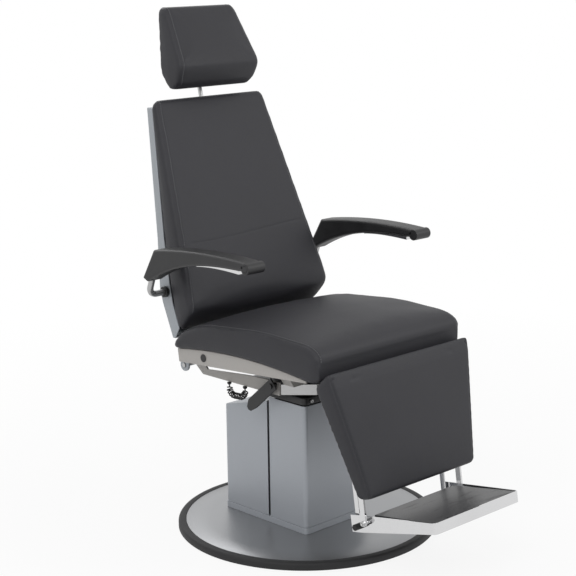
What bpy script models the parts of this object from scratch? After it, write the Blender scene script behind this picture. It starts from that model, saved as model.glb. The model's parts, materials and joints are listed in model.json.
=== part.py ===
"""Examination chair for ear, nose and throat work, in metres, +Z up.

The origin is on the floor under the middle of the round base. The chair faces -Y, and the
patient's right side is -X. Left and right in the names are those of someone who looks at the
chair from the front: left is -X.
"""

import math

import bmesh
import bpy
from mathutils import Matrix, Vector

for old in list(bpy.data.objects):
    bpy.data.objects.remove(old, do_unlink=True)

# Clearances
GAP = 0.0003
RUN = 0.0006
SWING = 0.003

# Round base
BASE_RADIUS = 0.350
RIM_WIDTH = 0.021
RIM_HEIGHT = 0.0205
RIM_ROUND = 0.006
PLATE_THICK = 0.020
PLATE_EDGE = 0.001

# Column covers
COLUMN_HALF = 0.1136
COLUMN_FRONT = -0.1113
COLUMN_REAR = 0.203
COLUMN_CORNER = 0.012
COVER_WALL = 0.003
SLOT_Y = 0.0286
SLOT_WIDTH = 0.008
SLOT_DEPTH = 0.004
LINER_WIDTH = 0.024
PLINTH_HEIGHT = 0.017
PLINTH_PROUD = 0.0015
PLINTH_WALL = 0.012
FRONT_TOP = 0.3698
REAR_TOP_FRONT = 0.358
REAR_TOP_REAR = 0.3137
LID_THICK = 0.003
COLLAR_HEIGHT = 0.022
COLLAR_INSET = 0.001
COLLAR_ROUND = 0.005
COLLAR_BOLT_RADIUS = 0.005
COLLAR_BOLT_HEAD = 0.004
COLLAR_BOLT_X = -0.088
INLET_HALF = 0.024
INLET_WALL = 0.2
INLET_FLOOR = 0.3
INLET_HEIGHT = 0.032
INLET_DEPTH = 0.008
INLET_Z = 0.060

# Lifting mast
MAST_RADIUS = 0.050
GUIDE_WALL = 0.007
MAST_FOOT = 0.045
FLANGE_RADIUS = 0.073
FLANGE_THICK = 0.008
FLANGE_Z = 0.3990

# Carrier that turns on the mast
CARRIER_BOTTOM = 0.397
HUB_BOTTOM = 0.398
HUB_TOP = 0.426
HUB_REAR = 0.060
HUB_CHAMFER_Y = -0.056
HUB_NOSE_Y = -0.123
HUB_NOSE_HALF = 0.080
ARM_FACE = 0.150
ARM_PLATE = 0.006
ARM_PLATE_DEEP = 0.035
ARM_PLATE_SLIM = 0.017
ARM_PLATE_STEP = 0.060
HOUSING_HALF = 0.075
HOUSING_FRONT = -0.105
HOUSING_REAR = 0.050
GUSSET_FRONT = -0.100
GUSSET_REAR = -0.062
GUSSET_LOW = 0.100
GUSSET_HIGH = 0.190
GUSSET_WIDE = 0.040

# Seat
SEAT_HALF = 0.263
SEAT_REAR = 0.232
SEAT_REAR_TOP = 0.512
SEAT_HIP = (0.126, 0.574)
SEAT_RUMP = (0.197, 0.544)
SEAT_THIGH = (-0.110, 0.594)
SEAT_NOSE = -0.312
SEAT_NOSE_TOP = 0.552
SEAT_NOSE_LOW = 0.506
SEAT_NOSE_LONG = 0.060
SEAT_NOSE_DRAW = 0.001
SEAT_FRONT_TOP = 0.588
SEAT_LIP = 0.030
SEAT_ARCH_Y = -0.030
SEAT_ARCH_Z = 0.512
SEAT_ARCH_BEND = 0.2946
SEAT_CROWN = 0.010
SEAT_SEAM_ROUND = 0.012
SEAT_DRAW = 0.006
PAN_THICK = 0.004
PAN_REAR_STEP = 0.010
RAIL_REAR_SLANT = 0.005
RAIL_ROUND = 0.0012
PAN_FRONT = -0.255
RAIL_FACE = 0.250
RAIL_THICK = 0.006
RAIL_REAR = 0.230
RAIL_REAR_LOW = 0.456
RAIL_TIP = -0.257
RAIL_TIP_LOW = 0.490
RAIL_PLUG_RADIUS = 0.0105
RAIL_PLUG_PROUD = 0.0018
RAIL_PLUG_AT = (0.124, 0.484)

# Turn brake lever
LEVER_AT = (-0.0415, 0.4235)
LEVER_X = -0.1655
LEVER_THICK = 0.005
LEVER_WIDTH = 0.034
LEVER_LENGTH = 0.134
LEVER_HEEL = 0.014
LEVER_ROUND = 0.0015
LEVER_FALL = math.radians(40.6)
LEVER_PIN_RADIUS = 0.004
LEVER_PIN_HEAD = 0.003

# Back
BACK_PIVOT = (0.262, 0.430)
BACK_PIN_RADIUS = 0.006
BACK_BOSS_WALL = 0.010
BACK_BOSS_REACH = 2.2
BACK_STRAP_HALF = 0.014
BACK_STRAP_X = 0.195
BACK_STRAP_THICK = 0.006
BACK_HALF_LOW = 0.253
BACK_HALF_TOP = 0.191
BACK_LOW_FRONT = (0.162, 0.608)
BACK_LOW_REAR = (0.222, 0.541)
BACK_TOP_FRONT = (0.361, 1.138)
BACK_TOP_REAR = (0.384, 1.122)
BACK_WAIST_REAR = (0.262, 0.644)
BACK_MID_REAR = (0.300, 0.772)
BACK_CROWN = 0.012
BACK_SEAM_ROUND = 0.014
BACK_DRAW = 0.005
BACK_END = 0.03
BACK_END_ROUND = 0.012
SHELL_LOW = 0.516
SHELL_HEM = 0.546
SHELL_TOP = 1.112
SHELL_LOW_DEEP = 0.014
SHELL_LOW_FRONT_Y = 0.242
SHELL_HEM_DEEP = 0.044
SHELL_WAIST_DEEP = 0.047
SHELL_MID_DEEP = 0.031
SHELL_TOP_DEEP = 0.026
SHELL_WALL = 0.004
SHELL_IN = 0.0065
SHELL_CORNER = 0.008

# Headrest
HEAD_POST_RADIUS = 0.006
HEAD_GUIDE_WALL = 0.006
HEAD_GUIDE_LONG = 0.120
HEAD_POST_BACK = 0.014
HEAD_POST_BELOW = 0.260
HEAD_PIVOT_UP = 0.101
HEAD_BRACKET_HALF = 0.018
HEAD_BRACKET_RADIUS = 0.009
HEAD_PIN_RADIUS = 0.004
HEAD_PLATE_THICK = 0.004
HEAD_PLATE_HALF = 0.060
HEAD_PLATE_LOW = 1.222
HEAD_PLATE_HIGH = 1.330
HEAD_EAR_THICK = 0.005
HEAD_HALF_TOP = 0.1225
HEAD_HALF_LOW = 0.140
HEAD_BOTTOM_HALF = 0.1315
HEAD_GAP = 0.023
HEAD_CHIN_UP = 0.060
HEAD_TALL = 0.210
HEAD_BOTTOM = BACK_TOP_FRONT[1] + HEAD_GAP
HEAD_CHIN = HEAD_BOTTOM + HEAD_CHIN_UP
HEAD_TOP = HEAD_BOTTOM + HEAD_TALL
HEAD_PIVOT_Z = HEAD_BOTTOM + HEAD_PIVOT_UP
HEAD_CROWN = 0.006
HEAD_EDGE_DRAW = 0.004
HEAD_FIRST_RISE = 0.006
HEAD_FOLD_RISE = 0.017
HEAD_SWELL_RISE = 0.027
HEAD_NAPE_RISE = 0.039
HEAD_SIDE_DROP = 0.020
HEAD_FACE_DROP = 0.031
HEAD_ROLL_DROP = 0.014
HEAD_CORNER_DROP = 0.010
HEAD_BROW_DROP = 0.008
HEAD_LAST_DROP = 0.005
HEAD_CORNER_DRAW = 0.004
HEAD_FRONT_BOTTOM_Y = 0.352
HEAD_FRONT_FOLD_Y = 0.330
HEAD_FRONT_CHIN_Y = 0.313
HEAD_CHIN_HALF = 0.012
HEAD_CHIN_ROUND = 0.003
HEAD_FRONT_BROW_Y = 0.389
HEAD_FRONT_TOP_Y = 0.398
HEAD_REAR_BOTTOM_Y = 0.379
HEAD_REAR_FOLD_Y = 0.392
HEAD_REAR_NAPE_Y = 0.4015
HEAD_REAR_ROLL_Y = 0.4285
HEAD_REAR_TOP_Y = 0.424
HEAD_EAR_HALF = 0.014
HEAD_EAR_EASE = 0.001
HEAD_SEAM_ROUND = 0.012

# Armrests
ARM_INNER = 0.276
ARM_OUTER = 0.332
ARM_PIVOT = (0.276, 0.638)
ARM_TUBE_RADIUS = 0.0085
ARM_TUBE_X = 0.304
ARM_TUBE_BEND = 0.024
ARM_SOCKET_RADIUS = 0.0145
ARM_SOCKET_LONG = 0.010
ARM_SCROLL = (-0.134, 0.769)
ARM_SCROLL_RADIUS = 0.0145
ARM_REAR_TOP = (0.219, 0.770)
ARM_REAR_LOW = (0.267, 0.690)
ARM_HEEL = (0.249, 0.682)
ARM_TOP_RISE = 0.010
ARM_UNDER_Z = 0.761
ARM_SWEEP = 2.7
ARM_ROUND = 0.005
ARM_STRIP_HALF = 0.014
ARM_STRIP_THICK = 0.0025
ARM_STRIP_RUNS = 5

# Leg rest
LEG_PIVOT = (-0.334, 0.508)
LEG_PIN_RADIUS = 0.0045
LEG_TOP_FRONT = (-0.341, 0.535)
LEG_TOP_REAR = (-0.296, 0.490)
LEG_LOW_FRONT = (-0.421, 0.220)
LEG_LOW_REAR = (-0.380, 0.210)
LEG_HALF_TOP = 0.262
LEG_HALF_LOW = 0.199
LEG_CROWN = 0.006
LEG_SEAM_ROUND = 0.009
LEG_DRAW = 0.003
LEG_PAN_THICK = 0.003
LEG_PAN_FROM = 0.52
LEG_PAN_TO = 0.97
LEG_END = 0.03
LEG_END_ROUND = 0.010
LEG_BAR_HALF = 0.008
LEG_BAR_THICK = 0.006
LEG_BAR_X = 0.1785
LUG_X = 0.1705
LUG_THICK = 0.006
LUG_HALF = 0.008
LUG_ROOT = -0.120
LUG_DEEP = 0.026
NOTCH_SIDE = 0.004
NOTCH_FRONT = 0.0095

# Foot rest on its parallel links
FOOT_PIVOT = (-0.386, 0.146)
LINK_STEP = (0.036, -0.024)
LINK_HALF = 0.007
LINK_THICK = 0.005
LINK_X = 0.158
FOOT_PIN_RADIUS = 0.004
FOOT_SLOPE = math.radians(9.3)
FOOT_FRONT_HALF = 0.1605
FOOT_REAR_HALF = 0.172
FOOT_LENGTH = 0.214
FOOT_EAR = 0.054
FOOT_EAR_DEEP = 0.029
FOOT_OPEN_RUN = 0.0015
FOOT_HEIGHT = 0.028
FOOT_WALL = 0.003
FOOT_CORNER = 0.012
FOOT_BELOW_TOP = 0.0145
TREAD_THICK = 0.010
TREAD_REAR_HALF = 0.148
TREAD_SINK = 0.0015
TREAD_REAR = 0.006
STOP_RADIUS = 0.008
STOP_LONG = 0.024
STOP_BACK = 0.022
STOP_DOWN = 0.010

# Curly cord under the left side plate
CORD_RADIUS = 0.0017
CURL_RADIUS = 0.0074
CURL_PITCH = 0.0064
CURL_POINTS = 9
CORD_X = -0.152
CORD_REAR = 0.136
CORD_FRONT = 0.074
CORD_DROP = 0.027
CORD_FRONT_RISE = 0.004
CORD_BEND = 0.020
CORD_BEND_STEPS = 48
GLAND_RADIUS = 0.006
GLAND_LONG = 0.007
CORD_LEAD = 0.0025
CORD_RAMP = 0.006

# Finishes: colour, roughness, metallic
LOOKS = {
    "hide": ((0.045, 0.046, 0.052), 0.55, 0.0),
    "black_plastic": ((0.020, 0.020, 0.022), 0.45, 0.0),
    "rubber": ((0.018, 0.018, 0.018), 0.80, 0.0),
    "silver_paint": ((0.420, 0.435, 0.460), 0.42, 0.3),
    "pale_paint": ((0.600, 0.650, 0.700), 0.40, 0.1),
    "frame_paint": ((0.620, 0.600, 0.570), 0.40, 0.1),
    "steel": ((0.560, 0.560, 0.560), 0.30, 1.0),
    "chrome": ((0.800, 0.800, 0.810), 0.12, 1.0),
}

HUBS = {}
PLACES = {}


def hub(name, at, parent=None):
    """An empty on a joint's axis: what moves with that joint hangs from it."""
    empty = bpy.data.objects.new(name, None)
    empty.empty_display_size = 0.03
    bpy.context.scene.collection.objects.link(empty)
    PLACES[name] = Vector(at)
    if parent:
        empty.parent = HUBS[parent]
    empty.location = PLACES[name] - (PLACES[parent] if parent else Vector())
    HUBS[name] = empty


def material(name, look):
    colour, rough, metal = LOOKS[look]
    made = bpy.data.materials.new(name + "_finish")
    made.use_nodes = True
    shader = made.node_tree.nodes["Principled BSDF"]
    shader.inputs["Base Color"].default_value = (*colour, 1.0)
    shader.inputs["Roughness"].default_value = rough
    shader.inputs["Metallic"].default_value = metal
    made.diffuse_color = (*colour, 1.0)
    return made


def hang(name, data, look, on):
    """Links an object whose data is already counted from the empty that carries it."""
    piece = bpy.data.objects.new(name, data)
    bpy.context.scene.collection.objects.link(piece)
    piece.parent = HUBS[on]
    if look:
        data.materials.append(material(name, look))
    return piece


def piece(name, bm, look, on):
    """A named solid: the mesh comes in world places and is counted from its joint."""
    bmesh.ops.recalc_face_normals(bm, faces=bm.faces)
    mesh = bpy.data.meshes.new(name)
    bm.to_mesh(mesh)
    bm.free()
    mesh.transform(Matrix.Translation(-PLACES[on]))
    mesh.shade_smooth()
    mesh.set_sharp_from_angle(angle=math.radians(35))
    return hang(name, mesh, look, on)


def shape_with(target, bm, operation, on):
    """A hidden helper solid that is cut from the target or joined to it."""
    helper = piece(f"{target.name}_{operation.lower()}_{len(target.modifiers)}", bm, None, on)
    helper.hide_render = True
    helper.display_type = "WIRE"
    boolean = target.modifiers.new(operation.title(), "BOOLEAN")
    boolean.operation = operation
    boolean.object = helper


def skin(rings):
    """A closed body through rings of equal count, with flat ends."""
    bm = bmesh.new()
    loops = [[bm.verts.new(point) for point in ring] for ring in rings]
    for near, far in zip(loops, loops[1:]):
        for i in range(len(near)):
            j = (i + 1) % len(near)
            bm.faces.new((near[i], near[j], far[j], far[i]))
    bm.faces.new(loops[0][::-1])
    bm.faces.new(loops[-1])
    bmesh.ops.recalc_face_normals(bm, faces=bm.faces)
    return bm


def put(axis, a, b, t):
    return {"X": (t, a, b), "Y": (a, t, b), "Z": (a, b, t)}[axis]


def inset(outline, by):
    """The outline moved inwards by one distance, corner by corner."""
    count = len(outline)
    area = sum(
        outline[i][0] * outline[(i + 1) % count][1] - outline[(i + 1) % count][0] * outline[i][1]
        for i in range(count)
    )
    turn = math.copysign(1.0, area)
    moved = []
    for i in range(count):
        here = Vector(outline[i])
        before = (here - Vector(outline[i - 1])).normalized()
        after = (Vector(outline[(i + 1) % count]) - here).normalized()
        inward = turn * (Vector((-before.y, before.x)) + Vector((-after.y, after.x)))
        lean = max(0.35, inward.length_squared / 2.0)
        moved.append(here + inward * (by / lean))
    return moved


def prism(outline, low, high, axis, rounding=0.0, steps=2):
    """An outline drawn out along an axis, with its two rims rounded."""
    if not rounding:
        return skin([[put(axis, a, b, t) for a, b in outline] for t in (low, high)])
    angles = [math.pi / 2 * i / steps for i in range(steps + 1)]
    depths = [(rounding * (1 - math.sin(a)), rounding * (1 - math.cos(a))) for a in angles]
    levels = [(low + up, inn) for inn, up in depths]
    levels += [(high - up, inn) for inn, up in reversed(depths)]
    return skin([[put(axis, a, b, t) for a, b in inset(outline, inn)] for t, inn in levels])


def turned(profile, at, along, segments, ring=False):
    """A profile of (radius, height) turned about an axis; a ring profile is closed."""
    direction = Vector(along).normalized()
    side = direction.orthogonal().normalized()
    other = direction.cross(side)
    bm = bmesh.new()
    loops = []
    for radius, height in profile:
        middle = Vector(at) + direction * height
        if radius <= 0:
            loops.append([bm.verts.new(middle)])
            continue
        turns = [2 * math.pi * i / segments for i in range(segments)]
        loops.append(
            [bm.verts.new(middle + radius * (side * math.cos(a) + other * math.sin(a))) for a in turns]
        )
    pairs = list(zip(loops, loops[1:])) + ([(loops[-1], loops[0])] if ring else [])
    for near, far in pairs:
        for i in range(segments):
            j = (i + 1) % segments
            corners = [near[i % len(near)], near[j % len(near)], far[j % len(far)], far[i % len(far)]]
            bm.faces.new(list(dict.fromkeys(corners)))
    bmesh.ops.recalc_face_normals(bm, faces=bm.faces)
    return bm


def rod(start, end, radius, segments=20):
    length = (Vector(end) - Vector(start)).length
    profile = [(0, 0), (radius, 0), (radius, length), (0, length)]
    return turned(profile, start, Vector(end) - Vector(start), segments)


def cross_rod(at, low, high, radius, segments=20):
    """A round bar along X through a point of the side view."""
    return rod((low, *at), (high, *at), radius, segments)


def arc(middle, radius, start, end, steps):
    """Points on a circle of the side view, angles in degrees."""
    angles = [math.radians(start + (end - start) * i / steps) for i in range(steps + 1)]
    return [(middle[0] + radius * math.cos(a), middle[1] + radius * math.sin(a)) for a in angles]


def strap(path, half, steps=6):
    """The outline of a flat bar along a bent path, with round ends."""
    points = [Vector(p) for p in path]
    ways = [(b - a).normalized() for a, b in zip(points, points[1:])]
    first = math.degrees(math.atan2(ways[0].y, ways[0].x))
    last = math.degrees(math.atan2(ways[-1].y, ways[-1].x))
    left, right = [], []
    for i in range(1, len(points) - 1):
        across = Vector((-ways[i - 1].y, ways[i - 1].x)) + Vector((-ways[i].y, ways[i].x))
        across *= 2 * half / across.length_squared
        left.append(tuple(points[i] + across))
        right.append(tuple(points[i] - across))
    tail = arc(points[0], half, first + 90, first + 270, steps)
    nose = arc(points[-1], half, last - 90, last + 90, steps)
    return tail + right + nose + left[::-1]


def blend(low, high, share):
    return tuple(a + (b - a) * share for a, b in zip(low, high))


def eased(places, at):
    """A value read from (place, value) pairs in rising order, with straight runs between."""
    for (a, low), (b, high) in zip(places, places[1:]):
        if at <= b:
            return low + (high - low) * (at - a) / (b - a)
    return places[-1][1]


def cushion_ring(rear, front, half, rounding, draw, crown):
    """One section across a cushion: drawn in behind, rounded at the seam and crowned in front."""
    back, face = Vector(rear), Vector(front)
    deep = (face - back).length
    out = (face - back).normalized()
    rounding = min(rounding, 0.45 * deep)
    flat = half - rounding
    right = [(half - draw, 0.0), (half, 0.5 * (deep - rounding)), (half, deep - rounding)]
    right.append((flat + rounding * math.sin(0.9), deep - rounding + rounding * math.cos(0.9)))
    right += [(flat * s, deep + crown * (1 - s * s)) for s in (1.0, 0.75, 0.4)]
    section = right + [(0.0, deep + crown)] + [(-x, s) for x, s in right[::-1]]
    section += [(-0.5 * (half - draw), 0.0), (0.5 * (half - draw), 0.0)]
    return [(x, back.x + out.x * s, back.y + out.y * s) for x, s in section]


def both(build):
    """Makes a piece on each side: -1 is the left, +1 the right."""
    for side, word in ((-1, "left"), (1, "right")):
        build(side, word)


def across(side, near, far):
    """A stretch of X on one side, in rising order."""
    return tuple(sorted((side * near, side * far)))


POST_WAY = (Vector(BACK_TOP_REAR) - Vector(BACK_MID_REAR)).normalized()


def post_at(z):
    """Where the headrest post stands in the side view, at a height."""
    return (BACK_TOP_REAR[0] + HEAD_POST_BACK + (z - BACK_TOP_REAR[1]) * POST_WAY.x / POST_WAY.y, z)


HEAD_PIVOT = post_at(HEAD_PIVOT_Z)
LINK_TOP = (LEG_PIVOT[0] + LINK_STEP[0], LEG_PIVOT[1] + LINK_STEP[1])
LINK_FOOT = (FOOT_PIVOT[0] + LINK_STEP[0], FOOT_PIVOT[1] + LINK_STEP[1])

# Joints, from the floor up
hub("base", (0, 0, 0))
hub("lift", (0, 0, FLANGE_Z), "base")
hub("swivel", (0, 0, HUB_BOTTOM), "lift")
hub("lever", (LEVER_X, *LEVER_AT), "swivel")
hub("recline", (0, *BACK_PIVOT), "swivel")
hub("head_slide", (0, *BACK_TOP_REAR), "recline")
hub("head_tilt", (0, *HEAD_PIVOT), "head_slide")
hub("armrest_left", (-BACK_HALF_LOW, *ARM_PIVOT), "recline")
hub("armrest_right", (BACK_HALF_LOW, *ARM_PIVOT), "recline")
hub("leg", (0, *LEG_PIVOT), "swivel")
hub("foot", (0, *FOOT_PIVOT), "leg")
hub("foot_link", (0, *LINK_TOP), "swivel")


def round_rect(low_x, high_x, low_y, high_y, corner, steps=4):
    """A rectangle in plan with round corners."""
    corners = ((high_x, high_y, 0), (low_x, high_y, 90), (low_x, low_y, 180), (high_x, low_y, 270))
    points = []
    for x, y, start in corners:
        middle = (x - math.copysign(corner, x - low_x - 1e-9), y - math.copysign(corner, y - low_y - 1e-9))
        points += arc(middle, corner, start, start + 90, steps)
    return points


def hollow(outer, inner, low, high):
    """A wall between two plan outlines of equal count."""
    loops = [(outer, low), (outer, high), (inner, high), (inner, low)]
    bm = bmesh.new()
    rings = [[bm.verts.new((x, y, z)) for x, y in outline] for outline, z in loops]
    for near, far in zip(rings, rings[1:] + rings[:1]):
        for i in range(len(near)):
            j = (i + 1) % len(near)
            bm.faces.new((near[i], near[j], far[j], far[i]))
    return bm


def u_path(open_y, closed_y, half, corner, steps=4):
    """One side of a cover in plan: up a flank, round two corners and down the other flank."""
    way = math.copysign(1.0, closed_y - open_y)
    turns = [math.pi / 2 * i / steps for i in range(steps + 1)]
    bend = [(half - corner + corner * math.cos(a), closed_y - way * corner * (1 - math.sin(a))) for a in turns]
    flank = [(half, open_y)] + bend
    return flank + [(-x, y) for x, y in reversed(flank)]


# Base
plate_radius = BASE_RADIUS - RIM_WIDTH
plate_profile = [
    (0, 0),
    (plate_radius, 0),
    (plate_radius, PLATE_THICK - PLATE_EDGE),
    (plate_radius - PLATE_EDGE, PLATE_THICK),
    (0, PLATE_THICK),
]
piece("base_plate", turned(plate_profile, (0, 0, 0), (0, 0, 1), 64), "silver_paint", "base")
rim_inside = plate_radius + GAP
rim_profile = [(rim_inside, 0), (BASE_RADIUS, 0)]
rim_profile += arc((BASE_RADIUS - RIM_ROUND, RIM_HEIGHT - RIM_ROUND), RIM_ROUND, 0, 90, 3)
rim_profile += [(rim_inside, RIM_HEIGHT)]
piece("base_rim", turned(rim_profile, (0, 0, 0), (0, 0, 1), 64, ring=True), "rubber", "base")

# Column
plinth_low = PLATE_THICK + GAP
plinth_top = plinth_low + PLINTH_HEIGHT
plinth_half = COLUMN_HALF + PLINTH_PROUD
plinth_front = COLUMN_FRONT - PLINTH_PROUD
plinth_rear = COLUMN_REAR + PLINTH_PROUD
plinth_outer = round_rect(-plinth_half, plinth_half, plinth_front, plinth_rear, COLUMN_CORNER)
plinth_inner = round_rect(
    PLINTH_WALL - plinth_half,
    plinth_half - PLINTH_WALL,
    plinth_front + PLINTH_WALL,
    plinth_rear - PLINTH_WALL,
    0.5 * COLUMN_CORNER,
)
piece("column_plinth", hollow(plinth_outer, plinth_inner, plinth_low, plinth_top), "black_plastic", "base")

cover_low = plinth_top + GAP
slot_front = SLOT_Y - SLOT_WIDTH / 2
slot_rear = SLOT_Y + SLOT_WIDTH / 2
inner_half = COLUMN_HALF - COVER_WALL
inner_corner = COLUMN_CORNER - COVER_WALL
front_wall = u_path(slot_front, COLUMN_FRONT, COLUMN_HALF, COLUMN_CORNER)
front_wall += u_path(slot_front, COLUMN_FRONT + COVER_WALL, inner_half, inner_corner)[::-1]
piece("front_cover", prism(front_wall, cover_low, FRONT_TOP, "Z"), "silver_paint", "base")


def rear_top(y):
    share = (y - slot_rear) / (COLUMN_REAR - slot_rear)
    return REAR_TOP_FRONT + (REAR_TOP_REAR - REAR_TOP_FRONT) * share


rear_wall = u_path(slot_rear, COLUMN_REAR, COLUMN_HALF, COLUMN_CORNER)
rear_wall += u_path(slot_rear, COLUMN_REAR - COVER_WALL, inner_half, inner_corner)[::-1]
rear_rings = [[(x, y, cover_low) for x, y in rear_wall], [(x, y, rear_top(y)) for x, y in rear_wall]]
piece("rear_cover", skin(rear_rings), "silver_paint", "base")

guide_inside = MAST_RADIUS + RUN
guide_outside = guide_inside + GUIDE_WALL
bite = guide_outside + SWING
bite_start = math.degrees(math.asin(slot_rear / bite))
lid_plan = u_path(slot_rear, COLUMN_REAR - COVER_WALL - GAP, inner_half - GAP, inner_corner)
lid_plan += arc((0, 0), bite, 180 - bite_start, bite_start, 8)
lid_rings = [[(x, y, rear_top(y) - drop) for x, y in lid_plan] for drop in (LID_THICK, 0)]
piece("rear_lid", skin(lid_rings), "silver_paint", "base")


def slot_liner(side, word):
    outer = COLUMN_HALF - SLOT_DEPTH
    low, high = across(side, outer - LINER_WIDTH, outer)
    plan = [(low, slot_front + GAP), (high, slot_front + GAP), (high, slot_rear - GAP), (low, slot_rear - GAP)]
    piece("slot_liner_" + word, prism(plan, cover_low, REAR_TOP_FRONT, "Z"), "black_plastic", "base")


both(slot_liner)

guide_profile = [
    (guide_inside, PLATE_THICK + GAP),
    (guide_outside, PLATE_THICK + GAP),
    (guide_outside, FRONT_TOP),
    (guide_inside, FRONT_TOP),
]
piece("column_guide", turned(guide_profile, (0, 0, 0), (0, 0, 1), 40, ring=True), "black_plastic", "base")

collar_half = COLUMN_HALF - COLLAR_INSET
collar_front = COLUMN_FRONT + COLLAR_INSET
collar_low = FRONT_TOP + GAP
collar_plan = round_rect(-collar_half, collar_half, collar_front, guide_outside, COLUMN_CORNER)
collar = piece(
    "column_collar",
    prism(collar_plan, collar_low, collar_low + COLLAR_HEIGHT, "Z", COLLAR_ROUND),
    "black_plastic",
    "base",
)
collar_bore = rod((0, 0, collar_low - SWING), (0, 0, collar_low + COLLAR_HEIGHT + SWING), guide_inside, 40)
shape_with(collar, collar_bore, "DIFFERENCE", "base")
bolt_at = (COLLAR_BOLT_X, collar_front - GAP, collar_low + COLLAR_HEIGHT / 2)
bolt_end = (COLLAR_BOLT_X, collar_front - GAP - COLLAR_BOLT_HEAD, collar_low + COLLAR_HEIGHT / 2)
piece("collar_bolt", rod(bolt_at, bolt_end, COLLAR_BOLT_RADIUS, 12), "steel", "base")

inlet_plan = round_rect(-INLET_HALF, INLET_HALF, INLET_Z, INLET_Z + INLET_HEIGHT, INLET_WALL * INLET_HEIGHT, 2)
inlet_face = COLUMN_REAR + GAP
inlet_body = prism(inlet_plan, inlet_face, inlet_face + INLET_DEPTH, "Y")
inlet = piece("mains_inlet", inlet_body, "black_plastic", "base")
well_plan = inset(inlet_plan, INLET_WALL * INLET_HEIGHT)
well_floor = inlet_face + INLET_FLOOR * INLET_DEPTH
inlet_well = prism(well_plan, well_floor, inlet_face + 2 * INLET_DEPTH, "Y")
shape_with(inlet, inlet_well, "DIFFERENCE", "base")

# Mast with its turning flange
mast_profile = [
    (0, MAST_FOOT),
    (MAST_RADIUS, MAST_FOOT),
    (MAST_RADIUS, FLANGE_Z),
    (FLANGE_RADIUS, FLANGE_Z),
    (FLANGE_RADIUS, FLANGE_Z + FLANGE_THICK),
    (0, FLANGE_Z + FLANGE_THICK),
]
piece("mast", turned(mast_profile, (0, 0, 0), (0, 0, 1), 40), "steel", "lift")

# Carrier: hub, side plates, drive housing and gussets
hub_half = ARM_FACE - ARM_PLATE - GAP
hub_flank = [(hub_half, HUB_REAR), (hub_half, HUB_CHAMFER_Y), (HUB_NOSE_HALF, HUB_NOSE_Y)]
hub_plan = hub_flank + [(-x, y) for x, y in reversed(hub_flank)]
carrier = piece("carrier_hub", prism(hub_plan, HUB_BOTTOM, HUB_TOP, "Z"), "frame_paint", "swivel")
pocket_top = FLANGE_Z + FLANGE_THICK + GAP
pocket = rod((0, 0, HUB_BOTTOM - SWING), (0, 0, pocket_top), FLANGE_RADIUS + RUN, 40)
shape_with(carrier, pocket, "DIFFERENCE", "swivel")

boss = BACK_PIN_RADIUS + BACK_BOSS_WALL
plate_outline = [(HUB_CHAMFER_Y, CARRIER_BOTTOM), (BACK_PIVOT[0] - boss, CARRIER_BOTTOM)]
plate_outline += arc(BACK_PIVOT, boss, -50, 165, 8)
plate_outline += [
    (BACK_PIVOT[0] - BACK_BOSS_REACH * boss, CARRIER_BOTTOM + ARM_PLATE_SLIM),
    (ARM_PLATE_STEP, CARRIER_BOTTOM + 0.92 * ARM_PLATE_DEEP),
    (0.0, CARRIER_BOTTOM + ARM_PLATE_DEEP),
    (HUB_CHAMFER_Y, CARRIER_BOTTOM + ARM_PLATE_DEEP),
]
strap_near = BACK_STRAP_X
strap_far = strap_near + BACK_STRAP_THICK
pin_in = ARM_FACE - ARM_PLATE - SWING
pin_out = strap_far + SWING


def carrier_plate(side, word):
    low, high = across(side, ARM_FACE - ARM_PLATE, ARM_FACE)
    plate = piece("carrier_plate_" + word, prism(plate_outline, low, high, "X"), "frame_paint", "swivel")
    bore = cross_rod(BACK_PIVOT, low - SWING, high + SWING, BACK_PIN_RADIUS + GAP)
    shape_with(plate, bore, "DIFFERENCE", "swivel")
    low, high = across(side, pin_in, pin_out)
    piece("back_pin_" + word, cross_rod(BACK_PIVOT, low, high, BACK_PIN_RADIUS), "steel", "swivel")


both(carrier_plate)


def seat_low(y):
    """The arched edge where the cushion sits on its pan and rails."""
    return SEAT_ARCH_Z - SEAT_ARCH_BEND * (y - SEAT_ARCH_Y) ** 2


def pan_low(y):
    return seat_low(y) - GAP - PAN_THICK


def spread(low, high, count):
    return [low + (high - low) * i / count for i in range(count + 1)]


housing_low = HUB_TOP + GAP
housing = [(HOUSING_FRONT, housing_low), (HOUSING_REAR, housing_low)]
housing += [(y, pan_low(y) - GAP) for y in spread(HOUSING_REAR, HOUSING_FRONT, 4)]
piece("drive_housing", prism(housing, -HOUSING_HALF, HOUSING_HALF, "X", 0.003), "black_plastic", "swivel")
gusset_top = min(pan_low(GUSSET_FRONT), pan_low(GUSSET_REAR)) - GAP
gusset_outline = [
    (GUSSET_LOW, housing_low),
    (GUSSET_LOW + GUSSET_WIDE, housing_low),
    (GUSSET_HIGH, gusset_top),
    (GUSSET_HIGH - GUSSET_WIDE, gusset_top),
]


def gusset(side, word):
    outline = [(side * x, z) for x, z in gusset_outline]
    piece("gusset_" + word, prism(outline, GUSSET_FRONT, GUSSET_REAR, "Y"), "frame_paint", "swivel")


both(gusset)

# Seat
pan_rear = RAIL_REAR - PAN_REAR_STEP
pan_edge = [(y, seat_low(y) - GAP) for y in spread(PAN_FRONT, pan_rear, 10)]
pan_outline = pan_edge + [(y, z - PAN_THICK) for y, z in reversed(pan_edge)]
pan_half = RAIL_FACE - RAIL_THICK - GAP
piece("seat_pan", prism(pan_outline, -pan_half, pan_half, "X"), "frame_paint", "swivel")
rail_outline = [(y, seat_low(y) - GAP) for y in spread(RAIL_TIP, RAIL_REAR, 10)]
rail_outline += [(RAIL_REAR - RAIL_REAR_SLANT, RAIL_REAR_LOW), (RAIL_TIP, RAIL_TIP_LOW)]


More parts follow.
